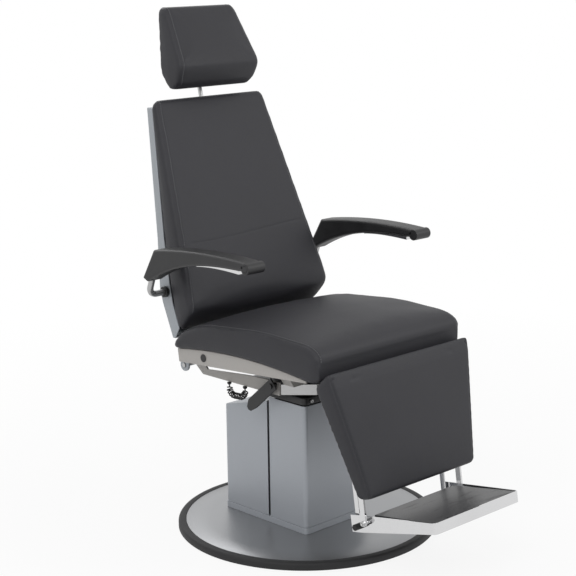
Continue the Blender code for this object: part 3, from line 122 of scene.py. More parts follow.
class ChairColours(bpy.types.PropertyGroup):
    """Colours of the chair's finishes and of the studio."""

    hide: tint("Leatherette", "Cover of the cushions", (0.0305, 0.0305, 0.0355))
    thread: tint("Thread", "Top stitching", (0.230, 0.230, 0.240))
    plastic: tint("Black plastic", "Armrests, lever, collar and small mouldings", (0.0115, 0.0115, 0.0125))
    rubber: tint("Rubber", "Rim of the base and stops", (0.012, 0.012, 0.013))
    silver: tint("Silver paint", "Covers of the column", (0.400, 0.422, 0.455))
    plate: tint("Base paint", "Round base plate", (0.320, 0.325, 0.335))
    pale: tint("Pale paint", "Shell of the back and its straps", (0.365, 0.390, 0.415))
    warm: tint("Warm grey paint", "Seat rails and carrier", (0.430, 0.413, 0.393))
    steel: tint("Brushed steel", "Mast, pins and headrest post", (0.480, 0.480, 0.480))
    chrome: tint("Chrome", "Footplate frame, bars and armrest tubes", (0.660, 0.660, 0.665))
    tread: tint("Tread", "Top of the footplate", (0.028, 0.028, 0.030))
    floor: tint("Floor", "Floor of the studio", (0.950, 0.950, 0.950))


class ChairSizes(bpy.types.PropertyGroup):
    """Sizes of the padding, the stitching and the softened edges."""

    weave: span("Padding mesh", "Spacing of the points that the padding is inflated on", 0.006)
    plump: span("Plump", "Filling that stretches the cover before it is inflated", 0.0022)
    swell: span("Swell", "Most that a point of a pad may move as it is inflated", 0.0045)
    pressure: FloatProperty(
        name="Pressure", description="Air pressure inside a pad", min=0.0, max=20.0, default=3.0
    )
    frames: IntProperty(
        name="Frames", description="Steps that a pad is inflated for", min=2, max=60, default=10
    )
    fold: FloatProperty(
        name="Fold", description="Turn of the skin over one step that makes a sewn edge", default=0.2
    )
    seam_width: span("Seam width", "Half width of the furrow along a seam", 0.0030)
    seam_depth: span("Seam depth", "Depth of the furrow along a seam", 0.0016)
    stitch: span("Stitch", "Length of one stitch", 0.0042)
    stitch_gap: span("Stitch gap", "Gap between two stitches", 0.0020)
    stitch_step: span("Stitch step", "Distance of a row of stitches from its seam", 0.0052)
    thread: span("Thread", "Thickness of the thread", 0.0012)
    edge: span("Edge", "Rounding of a metal edge", 0.0007)
    cord: span("Cord", "Radius of the curly cord", 0.0017)


class Wire:
    """An output of a node, which takes part in sums."""

    def __init__(self, shading, socket):
        self.shading = shading
        self.socket = socket

    def sum(self, operation, first, second):
        return self.shading.node("Math", {"operation": operation}, {0: first, 1: second})

    def __add__(self, other):
        return self.sum("ADD", self, other)

    def __radd__(self, other):
        return self.sum("ADD", other, self)

    def __sub__(self, other):
        return self.sum("SUBTRACT", self, other)

    def __rsub__(self, other):
        return self.sum("SUBTRACT", other, self)

    def __mul__(self, other):
        return self.sum("MULTIPLY", self, other)

    def __rmul__(self, other):
        return self.sum("MULTIPLY", other, self)


class Shading:
    """A node tree, to which nodes are added by name."""

    def __init__(self, tree):
        self.tree = tree

    def put(self, socket, value):
        """Links a wire to a socket, or sets its value."""
        if isinstance(value, Wire):
            self.tree.links.new(value.socket, socket)
        elif isinstance(value, tuple) and len(value) == 3 and socket.type == "RGBA":
            socket.default_value = (*value, 1.0)
        else:
            socket.default_value = value

    def node(self, kind, settings=None, sockets=None, out=0):
        """Any node: its settings are set first, then the values or links of its sockets."""
        made = self.tree.nodes.new("ShaderNode" + kind)
        for key, value in (settings or {}).items():
            setattr(made, key, value)
        for key, value in (sockets or {}).items():
            self.put(made.inputs[key], value)
        return Wire(self, made.outputs[out])

    def place(self, stretch=(1.0, 1.0, 1.0)):
        """Object coordinates, drawn out along an axis where the pattern is."""
        spot = self.node("TexCoord", out="Object")
        return self.node("Mapping", None, {"Vector": spot, "Scale": stretch}, "Vector")

    def noise(self, scale, detail=3.0, stretch=(1.0, 1.0, 1.0)):
        sockets = {"Vector": self.place(stretch), "Scale": scale, "Detail": detail}
        return self.node("TexNoise", None, sockets, "Fac")

    def cells(self, scale, feature="F1"):
        return self.node(
            "TexVoronoi", {"feature": feature}, {"Vector": self.place(), "Scale": scale}, "Distance"
        )

    def ramp(self, value, low, high):
        """The value drawn out so that low becomes 0 and high becomes 1."""
        return self.node("MapRange", {"clamp": True}, {"Value": value, "From Min": low, "From Max": high})

    def mix(self, share, first, second):
        """Two colours mixed: a Mix node has its colours at inputs 6 and 7 and their mix at output 2."""
        settings = {"data_type": "RGBA", "blend_type": "MIX"}
        return self.node("Mix", settings, {0: share, 6: first, 7: second}, 2)

    def bump(self, height, distance, strength=1.0):
        sockets = {"Strength": strength, "Distance": distance, "Height": height}
        return self.node("Bump", None, sockets, "Normal")


class Finish(Shading):
    """A node material with one Principled shader."""

    def __init__(self, name):
        self.material = bpy.data.materials.new(name)
        self.material.use_nodes = True
        super().__init__(self.material.node_tree)
        self.shader = self.tree.nodes["Principled BSDF"]

    def shade(self, **sockets):
        """Sets or links the shader's inputs, whose names have a low line for each space."""
        for key, value in sockets.items():
            self.put(self.shader.inputs[key.replace("_", " ")], value)
        return self.material


def lit(colour, by):
    """The colour made lighter or darker by a share."""
    return tuple(min(1.0, part * (1 + by)) for part in colour)


FINISHES = {}


def finish_of(name):
    """The finish of that name, made when it is first asked for."""
    if name not in FINISHES:
        FINISHES[name] = MAKERS[name]()
    return FINISHES[name]


def colours():
    return bpy.context.scene.chair_colours


def sizes():
    return bpy.context.scene.chair_sizes


def tone_of(name):
    """The colour of that name as it is set in the panel."""
    return tuple(getattr(colours(), name))


def leatherette():
    """Dark cover with a fine pebbled grain whose valleys carry painted shade, soft creases and a dull sheen.
    """
    made = Finish("charcoal_leatherette")
    hide = tone_of("hide")
    grain = made.cells(760.0, "SMOOTH_F1")
    pores = made.noise(2400.0, 2.0)
    creases = made.noise(38.0, 5.0, (1.0, 0.6, 1.6))
    cloud = made.noise(5.0, 3.0)
    tone = made.mix(made.ramp(cloud, 0.3, 0.7), lit(hide, -0.10), lit(hide, 0.12))
    valleys = made.ramp(grain, 0.25, 0.75)
    # The grain's valleys are painted darker in the base colour, as painted shade in its hollows
    colour = made.mix(valleys * 0.35, tone, lit(hide, -0.35))
    height = (1 - grain) * 0.7 + pores * 0.15 + creases * 0.8
    return made.shade(
        Base_Color=colour,
        Roughness=0.47 + cloud * 0.10 + valleys * 0.08,
        Specular_IOR_Level=0.35,
        Normal=made.bump(height, 0.0004, 0.55),
    )


def thread():
    """Pale twisted sewing thread, with painted light and shade along its twist."""
    made = Finish("stitching_thread")
    twist = made.node(
        "TexWave", {"bands_direction": "DIAGONAL"}, {"Vector": made.place(), "Scale": 420.0}, "Fac"
    )
    # The twist's bands are painted darker and lighter in the base colour, as painted shade and light on the
    # strands
    colour = made.mix(twist, lit(tone_of("thread"), -0.3), lit(tone_of("thread"), 0.2))
    return made.shade(Base_Color=colour, Roughness=0.6 + twist * 0.15, Normal=made.bump(twist, 0.0002))


def moulded(name, colour, rough, scale, depth):
    """A moulded black part with a fine spark-eroded texture and faint handling marks."""
    made = Finish(name)
    speckle = made.noise(scale, 2.0)
    marks = made.noise(22.0, 5.0)
    tone = made.mix(made.ramp(marks, 0.35, 0.7), lit(colour, -0.15), lit(colour, 0.35))
    return made.shade(
        Base_Color=tone, Roughness=rough + marks * 0.14, Normal=made.bump(speckle, depth, 0.5)
    )


def painted(name, colour, metal, rough):
    """Satin paint with a fine metallic flake that carries painted glints, and a little orange peel."""
    made = Finish(name)
    flake = made.node(
        "TexVoronoi", {"feature": "F1"}, {"Vector": made.place(), "Scale": 1700.0}, "Color"
    )
    glint = made.node("SeparateColor", None, {"Color": flake}, 0)
    peel = made.noise(230.0, 2.0)
    cloud = made.noise(3.0, 3.0)
    # Each flake is painted lighter or darker in the base colour, as painted glints; the cloud is a random
    # tone
    tone = made.mix(glint * 0.5 + cloud * 0.5, lit(colour, -0.10), lit(colour, 0.10))
    return made.shade(
        Base_Color=tone,
        Metallic=metal,
        Roughness=rough + glint * 0.06 + cloud * 0.06,
        Normal=made.bump(peel, 0.00012, 0.4),
    )


def brushed(name, colour, rough, stretch):
    """Steel ground along one direction."""
    made = Finish(name)
    lines = made.noise(1.0, 4.0, stretch)
    smear = made.noise(14.0, 3.0)
    tone = made.mix(lines, lit(colour, -0.18), lit(colour, 0.10))
    return made.shade(
        Base_Color=tone,
        Metallic=1.0,
        Roughness=rough + lines * 0.12 + smear * 0.06,
        Normal=made.bump(lines, 0.00008, 0.5),
    )


def polished():
    """Bright chrome with faint smears."""
    made = Finish("bright_chrome")
    smear = made.noise(9.0, 4.0)
    haze = made.ramp(made.noise(60.0, 5.0), 0.45, 0.75)
    chrome = tone_of("chrome")
    tone = made.mix(smear, lit(chrome, -0.05), lit(chrome, 0.06))
    return made.shade(Base_Color=tone, Metallic=1.0, Roughness=0.07 + haze * 0.07 + smear * 0.05)


def tread_cover():
    """Dark matting of the footplate, with a fine pebble and scuffs from shoes."""
    made = Finish("tread_matting")
    tread = tone_of("tread")
    pebble = made.cells(520.0)
    scuffs = made.ramp(made.noise(24.0, 6.0, (0.5, 2.2, 1.0)), 0.56, 0.74)
    tone = made.mix(scuffs * 0.5, tread, lit(tread, 0.6))
    return made.shade(
        Base_Color=tone,
        Roughness=0.30 + scuffs * 0.18 + pebble * 0.12,
        Normal=made.bump(1 - pebble, 0.00025, 0.35),
    )


MAKERS = {
    "hide": leatherette,
    "thread": thread,
    "plastic": lambda: moulded("black_moulding", tone_of("plastic"), 0.40, 1400.0, 0.0002),
    "rubber": lambda: moulded("black_rubber", tone_of("rubber"), 0.62, 700.0, 0.0003),
    "silver": lambda: painted("silver_paint", tone_of("silver"), 0.35, 0.36),
    "plate": lambda: painted("base_paint", tone_of("plate"), 0.80, 0.30),
    "pale": lambda: painted("pale_paint", tone_of("pale"), 0.25, 0.36),
    "warm": lambda: painted("warm_paint", tone_of("warm"), 0.10, 0.38),
    "steel": lambda: brushed("brushed_steel", tone_of("steel"), 0.22, (900.0, 900.0, 12.0)),
    "turned": lambda: brushed("turned_steel", tone_of("steel"), 0.26, (30.0, 30.0, 900.0)),
    "satin": lambda: brushed("satin_tube", tone_of("steel"), 0.34, (420.0, 420.0, 420.0)),
    "chrome": polished,
    "tread": tread_cover,
}


def place(name, bm, finish, body, nodes=()):
    """A finished piece in its place, riding on a body and standing for the solids that it names."""
    mesh = bpy.data.meshes.new(name)
    bm.to_mesh(mesh)
    bm.free()
    mesh.shade_smooth()
    mesh.materials.append(finish_of(finish))
    made = bpy.data.objects.new(name, mesh)
    bpy.context.scene.collection.objects.link(made)
    return carry(made, body, nodes)


def carry(made, body, nodes=()):
    """Lets a piece ride on its body and stand for its solids."""
    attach(made, body)
    if nodes:
        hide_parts(*nodes)
    return made


def welded(node):
    """A copy of a solid with its loose triangles joined."""
    bm = bmesh.new()
    bm.from_mesh(frame["nodes"][node].data)
    bmesh.ops.remove_doubles(bm, verts=bm.verts, dist=WELD)
    return bm


def joined(node):
    """A copy of a solid with its flat faces made whole."""
    bm = welded(node)
    bmesh.ops.dissolve_limit(bm, angle_limit=FLAT, verts=bm.verts, edges=bm.edges)
    return bm


def soften(piece, width, segments=2):
    """Rounds the edges and lets the flat faces keep their shading."""
    bevel = piece.modifiers.new("softened_edges", "BEVEL")
    bevel.width = width
    bevel.segments = segments
    bevel.limit_method = "ANGLE"
    bevel.angle_limit = SHARP
    shaded = piece.modifiers.new("flat_faces", "WEIGHTED_NORMAL")
    shaded.keep_sharp = True
    return piece


def dress(node, finish, width=None, segments=2):
    """A rigid solid with softened edges and its finish."""
    made = place("dressed_" + node, joined(node), finish, BODY_OF[node], [node])
    return soften(made, width or sizes().edge, segments)


def stood(bm, along, at):
    """An upright shape turned to another direction and moved to its place."""
    turn = Vector(UP).rotation_difference(Vector(along)).to_matrix().to_4x4()
    bmesh.ops.transform(bm, matrix=Matrix.Translation(at) @ turn, verts=bm.verts)
    return bm


def turned(profile, steps, along=UP, at=(0, 0, 0)):
    """A profile of radius and height spun about an axis through a point."""
    bm = bmesh.new()
    points = [bm.verts.new((radius, 0.0, height)) for radius, height in profile]
    edges = [bm.edges.new(pair) for pair in zip(points, points[1:])]
    bmesh.ops.spin(
        bm,
        geom=points + edges,
        cent=(0, 0, 0),
        axis=UP,
        angle=2 * math.pi,
        steps=steps,
        use_merge=True,
    )
    bmesh.ops.remove_doubles(bm, verts=bm.verts, dist=1e-6)
    bmesh.ops.recalc_face_normals(bm, faces=bm.faces)
    return stood(bm, along, at)


def slab(outline, start, end):
    """An outline seen from the side, as points of y and z, grown into a slab from one x to another."""
    bm = bmesh.new()
    face = bm.faces.new([bm.verts.new((start, y, z)) for y, z in outline])
    grown = bmesh.ops.extrude_face_region(bm, geom=[face])
    moved = [v for v in grown["geom"] if isinstance(v, bmesh.types.BMVert)]
    bmesh.ops.translate(bm, verts=moved, vec=(end - start, 0, 0))
    bmesh.ops.recalc_face_normals(bm, faces=bm.faces)
    return bm


def hex_bolt(radius, tall, along, at):
    """A round bolt head with a rounded rim and a hexagonal socket."""
    hole = 0.5 * radius
    profile = [(0, 0), (radius, 0), (radius, 0.55 * tall), (0.93 * radius, 0.85 * tall), (0.8 * radius, tall)]
    profile += [(hole, tall), (0.86 * hole, 0.4 * tall), (0, 0.4 * tall)]
    bm = turned(profile, 36)
    for point in bm.verts:
        reach = math.hypot(point.co.x, point.co.y)
        if 1e-6 < reach < 1.01 * hole and point.co.z > 0.3 * tall:
            turn = math.atan2(point.co.y, point.co.x) % (math.pi / 3) - math.pi / 6
            point.co.xy = point.co.xy * (math.cos(math.pi / 6) / math.cos(turn))
    return stood(bm, along, at)


def baked(piece):
    """The piece with its modifiers applied."""
    bpy.context.view_layer.update()
    graph = bpy.context.evaluated_depsgraph_get()
    mesh = bpy.data.meshes.new_from_object(piece.evaluated_get(graph))
    piece.modifiers.clear()
    old, piece.data = piece.data, mesh
    bpy.data.meshes.remove(old)
    return piece


def sewn_edges(piece, fold):
    """Points where the skin turns sharply, which the seams hold."""
    bm = bmesh.new()
    bm.from_mesh(piece.data)
    edges = []
    for point in bm.verts:
        turns = [point.normal.angle(edge.other_vert(point).normal, 0.0) for edge in point.link_edges]
        if max(turns) > fold:
            edges.append(point.index)
    bm.free()
    return edges


def inflate(piece, held):
    """Blows the panels of a pad up between the points that are held."""
    size = sizes()
    scene = bpy.context.scene
    group = piece.vertex_groups.new(name="held")
    group.add(held, 1.0, "REPLACE")
    cloth = piece.modifiers.new("air", "CLOTH")
    cloth.settings.quality = 4
    cloth.settings.mass = 0.35
    cloth.settings.tension_stiffness = 60
    cloth.settings.compression_stiffness = 60
    cloth.settings.shear_stiffness = 20
    cloth.settings.bending_stiffness = 4
    cloth.settings.use_pressure = True
    cloth.settings.uniform_pressure_force = size.pressure
    cloth.settings.vertex_group_mass = group.name
    cloth.settings.effector_weights.gravity = 0.0
    cloth.collision_settings.use_collision = False
    cloth.point_cache.frame_start = 1
    cloth.point_cache.frame_end = size.frames
    starts = [v.co.copy() for v in piece.data.vertices]
    for step in range(1, size.frames + 1):
        scene.frame_set(step)
    baked(piece)
    for point, start in zip(piece.data.vertices, starts):
        moved = point.co - start
        if moved.length > 1e-6:
            point.co = start + moved.normalized() * size.swell * math.tanh(moved.length / size.swell)
    scene.frame_set(1)
    piece.vertex_groups.clear()


def within(value):
    """The value kept between -1 and 1."""
    return max(-1.0, min(1.0, value))


def pad(node, back, share=1.0, room=None):
    """A cushion grown from its solid: an even skin, blown up between its sewn edges and what it rests on.

    Where another piece swings past, room(point) is under 1 and the cover is filled less or drawn in.
    """
    size = sizes()
    piece = place("padded_" + node, welded(node), "hide", BODY_OF[node], [node])
    even = piece.modifiers.new("even_skin", "REMESH")
    even.mode = "VOXEL"
    even.voxel_size = size.weave * share
    baked(piece)
    back = Vector(back).normalized()
    facing = [v.normal.dot(back) for v in piece.data.vertices]
    rooms = [room(v.co) if room else 1.0 for v in piece.data.vertices]
    fills = [v.normal * size.plump for v in piece.data.vertices]
    for vertex, fill, free, faces in zip(piece.data.vertices, fills, rooms, facing):
        vertex.co += fill * free * max(0.0, within((RESTS - faces) / FADE))
    held = [i for i, (free, faces) in enumerate(zip(rooms, facing)) if faces > RESTS or free < 1]
    inflate(piece, sorted(set(held + sewn_edges(piece, size.fold))))
    calm = piece.modifiers.new("calm", "SMOOTH")
    calm.factor = 0.5
    calm.iterations = 3
    finer = piece.modifiers.new("finer", "SUBSURF")
    finer.levels = finer.render_levels = 1
    baked(piece)
    piece.data.shade_smooth()
    return piece


def skin_of(piece):
    """The faces of a pad, to be met by rays or searched for the nearest point."""
    bm = bmesh.new()
    bm.from_mesh(piece.data)
    tree = BVHTree.FromBMesh(bm)
    bm.free()
    return tree


def shares(low, high, count):
    """Even steps from one value to another, both ends with them."""
    return [low + (high - low) * i / count for i in range(count + 1)]


def met(tree, starts, way):
    """Where rays along one way meet the skin, as a line of points."""
    hits = [tree.ray_cast(Vector(start), Vector(way))[0] for start in starts]
    return [hit for hit in hits if hit]


def met_in_front(tree, spots):
    return met(tree, [(x, -AFAR, z) for x, z in spots], (0, 1, 0))


def met_from_above(tree, spots):
    return met(tree, [(x, y, AFAR) for x, y in spots], (0, 0, -1))


def evened(line, step):
    """The line's points set out again at an even step."""
    points, left = [line[0].copy()], step
    for start, end in zip(line, line[1:]):
        run = (end - start).length
        while run > 1e-9 and left <= run:
            points.append(start.lerp(end, left / run))
            left += step
        left -= run
    return points


def furrow(piece, line, width, depth):
    """Draws the skin in along a seam."""
    points = evened(line, width / 2)
    tree = KDTree(len(points))
    for i, point in enumerate(points):
        tree.insert(point, i)
    tree.balance()
    moves = []
    for vertex in piece.data.vertices:
        distance = tree.find(vertex.co)[2]
        if distance < 3 * width:
            moves.append((vertex.index, vertex.normal * depth * math.exp(-((distance / width) ** 2))))
    for index, move in moves:
        piece.data.vertices[index].co -= move
    piece.data.update()


def stitch_along(bm, tree, line, step):
    """A row of stitches beside a seam, on the side towards the middle of the pad."""
    size = sizes()
    pitch = size.stitch + size.stitch_gap
    points = evened(line, pitch)
    for before, after in zip(points, points[1:]):
        way = (after - before).normalized()
        middle = (before + after) / 2
        normal = tree.find_nearest(middle)[1]
        across = normal.cross(way).normalized()
        inward = across if across.x * middle.x < 0 else -across
        spot, normal = tree.find_nearest(middle + inward * step)[:2]
        side = normal.cross(way).normalized()
        way = side.cross(normal).normalized()
        turn = Matrix((way, side, normal)).transposed().to_4x4()
        stretch = Matrix.Diagonal((size.stitch / 2, size.thread / 2, size.thread / 2, 1.0))
        lie = Matrix.Translation(spot + normal * size.thread * STITCH_PROUD)
        bmesh.ops.create_uvsphere(bm, u_segments=6, v_segments=4, radius=1.0, matrix=lie @ turn @ stretch)


def sew(piece, seams, name):
    """Furrows along the seams of a pad, then a row of stitches on the inner side of each."""
    size = sizes()
    for line in seams:
        furrow(piece, line, size.seam_width, size.seam_depth)
    tree = skin_of(piece)
    bm = bmesh.new()
    for line in seams:
        stitch_along(bm, tree, line, size.stitch_step)
    place(name, bm, "thread", piece["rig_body"])


def edge_seam(tree, side, heights, inset):
    """The seam of a side panel along the front edge of an upright pad."""
    line = []
    for front in met_in_front(tree, [(0, z) for z in heights]):
        for flank in met(tree, [(side * AFAR, front.y + FLANK, front.z)], (-side, 0, 0)):
            line += met_in_front(tree, [(flank.x - side * inset, front.z)])
    return line


def over_top(tree, line, rear):
    """A seam taken on over the top of an upright pad, to the rear."""
    end = line[-1]
    return line + met_from_above(tree, [(end.x, y) for y in shares(end.y + TOP_STEP, rear, TOP_POINTS)])


class CHAIR_OT_cord(bpy.types.Operator):
    """Makes the curly cord under the left carrier plate, between its two glands."""

    bl_idname = "chair.cord"
    bl_label = "Curly cord"

    # Straight lead at each end, run over which the curls grow, and their radius and pitch
    LEAD = 0.0025
    RAMP = 0.006
    CURL = 0.0074
    PITCH = 0.0064

    # Bends of the hanging line, its drop below the glands and its rise towards the front
    BEND = 0.020
    DROP = 0.027
    RISE = 0.004
    CLEAR = 0.0003
    STEP = 0.0005
    BEND_STEPS = 48
    TURN_POINTS = 18
    GLAND_STEPS = 32

    def middle(self):
        """The line that the curls wind about: down from one gland, along, and up to the other."""
        rear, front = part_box("cord_gland_rear"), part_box("cord_gland_front")
        top = rear[0].z - self.CLEAR
        x = (rear[0].x + rear[1].x) / 2
        rear_y = (rear[0].y + rear[1].y) / 2
        front_y = (front[0].y + front[1].y) / 2
        corners = [
            Vector((x, rear_y, top)),
            Vector((x, rear_y, top - self.DROP)),
            Vector((x, front_y, top - self.DROP + self.RISE)),
            Vector((x, front_y, top)),
        ]
        line = [corners[0]]
        for before, here, after in zip(corners, corners[1:], corners[2:]):
            back, on = (before - here).normalized(), (after - here).normalized()
            half = back.angle(on) / 2
            centre = here + (back + on).normalized() * (self.BEND / math.sin(half))
            start = here + back * (self.BEND / math.tan(half)) - centre
            end = here + on * (self.BEND / math.tan(half)) - centre
            arc = [start.slerp(end, share) for share in shares(0, 1, self.BEND_STEPS)]
            line += [centre + way * self.BEND for way in arc]
        return line + [corners[-1]]

    def route(self):
        """The cord's own line: straight at both ends, and curls between them that grow and die away."""
        line = evened(self.middle(), self.STEP)
        long = self.STEP * (len(line) - 1)
        count = round((long - 2 * self.LEAD) / self.PITCH * self.TURN_POINTS)
        points = [line[0]]
        for at in shares(self.LEAD, long - self.LEAD, count):
            index = min(len(line) - 2, int(at / self.STEP))
            way = (line[index + 1] - line[index]).normalized()
            spot = line[index] + way * (at - self.STEP * index)
            turn = 2 * math.pi * (at - self.LEAD) / self.PITCH
            grow = max(0.0, min(1.0, (at - self.LEAD) / self.RAMP, (long - self.LEAD - at) / self.RAMP))
            out = Vector((1, 0, 0))
            radius = self.CURL * grow * grow * (3 - 2 * grow)
            points.append(spot + (out * math.cos(turn) + way.cross(out) * math.sin(turn)) * radius)
        return points + [line[-1]]

    def gland(self, node):
        """A gland that narrows in two steps towards the cord."""
        low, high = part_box(node)
        radius, tall = (high.x - low.x) / 2, high.z - low.z
        steps = [(0, 1), (1, 1), (1, 0.62), (0.92, 0.60), (0.92, 0.45), (0.86, 0.43)]
        steps += [(0.80, 0.28), (0.74, 0.26), (0.45, 0.02), (0.36, 0), (0, 0)]
        profile = [(wide * radius, rise * tall) for wide, rise in steps]
        at = ((low.x + high.x) / 2, (low.y + high.y) / 2, low.z)
        shape = turned(profile, self.GLAND_STEPS, at=at)
        return place("ribbed_" + node, shape, "plastic", "carrier", [node])

    def execute(self, context):
        points = self.route()
        curve = bpy.data.curves.new("curly_lead", "CURVE")
        curve.dimensions = "3D"
        curve.bevel_depth = sizes().cord
        curve.bevel_resolution = 3
        curve.use_fill_caps = True
        curve.materials.append(finish_of("plastic"))
        spline = curve.splines.new("POLY")
        spline.points.add(len(points) - 1)
        for target, point in zip(spline.points, points):
            target.co = (*point, 1.0)
        spline.use_smooth = True
        made = bpy.data.objects.new("curly_lead", curve)
        context.scene.collection.objects.link(made)
        carry(made, "carrier", ["curly_cord"])
        glands = [self.gland(node) for node in ("cord_gland_rear", "cord_gland_front")]
        whole = sum((b - a).length for a, b in zip(points, points[1:]))
        tuple(points[0])
        return {"FINISHED"}


class CHAIR_OT_back(bpy.types.Operator):
    """Pads the back and sews its side seams."""

    bl_idname = "chair.back"
    bl_label = "Back cushion"

    INSET = 0.007
    SEAM_FROM = 0.056
    SEAM_TO = 0.012
    SEAM_REAR = 0.008
    CREASE_UP = 0.234
    CREASE_HALF = 0.20
    CREASE_WAVE = 0.006
    CREASE_BENDS = 9
    CREASE_WIDTH = 0.0026
    CREASE_DEPTH = 0.0009

    def execute(self, context):
        piece = pad("back_cushion", (0, 1, -0.2))
        low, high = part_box("back_cushion")
        tree = skin_of(piece)
        seams = []
        for side, _ in SIDES:
            heights = shares(low.z + self.SEAM_FROM, high.z - self.SEAM_TO, 60)
            line = edge_seam(tree, side, heights, self.INSET)
            seams.append(over_top(tree, line, high.y - self.SEAM_REAR))
        crease = []
        for x in shares(-self.CREASE_HALF, self.CREASE_HALF, 50):
            z = low.z + self.CREASE_UP + self.CREASE_WAVE * math.sin(self.CREASE_BENDS * x)
            crease += met_in_front(tree, [(x, z)])
        sew(piece, seams, "back_stitching")
        furrow(piece, crease, self.CREASE_WIDTH, self.CREASE_DEPTH)
        return {"FINISHED"}


class CHAIR_OT_seat(bpy.types.Operator):
    """Pads the seat and sews its side seams round the nose."""

    bl_idname = "chair.seat"
    bl_label = "Seat cushion"

    INSET = 0.008
    SEAM_REAR = 0.006
    NOSE = 0.022
    NOSE_STEP = 0.005
    NOSE_FOOT = 0.056
    SWING_DEEP = 0.012
    SWING_BELOW = 0.059
    SWING_FADE = 0.010

    def room(self, at, low, high):
        """Under 1 low on the nose, where the leg rest swings past."""
        above = max(0.0, (at.z - high.z + self.SWING_BELOW) / self.SWING_FADE)
        return within((at.y - low.y) / self.SWING_DEEP - 1 + above)

    def execute(self, context):
        low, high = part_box("seat_cushion")
        piece = pad("seat_cushion", (0, 0, -1), room=lambda at: self.room(at, low, high))
        tree = skin_of(piece)
        seams = []
        for side, _ in SIDES:
            x = side * (high.x - self.INSET)
            along = shares(high.y - self.SEAM_REAR, low.y + self.NOSE, 60)
            line = met_from_above(tree, [(x, y) for y in along])
            down = shares(line[-1].z - self.NOSE_STEP, low.z + self.NOSE_FOOT, 14)
            seams.append(line + met_in_front(tree, [(x, z) for z in down]))
        sew(piece, seams, "seat_stitching")
        return {"FINISHED"}


class CHAIR_OT_head(bpy.types.Operator):
    """Pads the headrest and sews its side seams."""

    bl_idname = "chair.head"
    bl_label = "Head cushion"

    INSET = 0.007
    SEAM_FROM = 0.012
    SEAM_TO = 0.008
    SEAM_REAR = 0.006

    def execute(self, context):
        piece = pad("head_cushion", (0, 1, -0.2), 0.7)
        low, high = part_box("head_cushion")
        tree = skin_of(piece)
        seams = []
        for side, _ in SIDES:
            heights = shares(low.z + self.SEAM_FROM, high.z - self.SEAM_TO, 40)
            line = edge_seam(tree, side, heights, self.INSET)
            seams.append(over_top(tree, line, high.y - self.SEAM_REAR))
        sew(piece, seams, "head_stitching")
        return {"FINISHED"}


class CHAIR_OT_leg(bpy.types.Operator):
    """Pads the leg rest and draws in its side seams."""

    bl_idname = "chair.leg"
    bl_label = "Leg cushion"

    INSET = 0.009
    DEPTH = 0.0034
    SEAM_FROM = 0.016
    SEAM_TO = 0.012
    SWING_BELOW = 0.015
    SWING_FADE = 0.020

    def room(self, at, high):
        """Under 1 along the top edge, which swings past the seat's nose."""
        return within((high.z - self.SWING_BELOW - at.z) / self.SWING_FADE)

    def execute(self, context):
        low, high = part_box("leg_cushion")
        piece = pad("leg_cushion", (0, 1, -0.3), 0.75, lambda at: self.room(at, high))
        tree = skin_of(piece)
        for side, _ in SIDES:
            heights = shares(low.z + self.SEAM_FROM, high.z - self.SEAM_TO, 50)
            line = edge_seam(tree, side, heights, self.INSET)
            furrow(piece, line, sizes().seam_width, self.DEPTH)
        return {"FINISHED"}


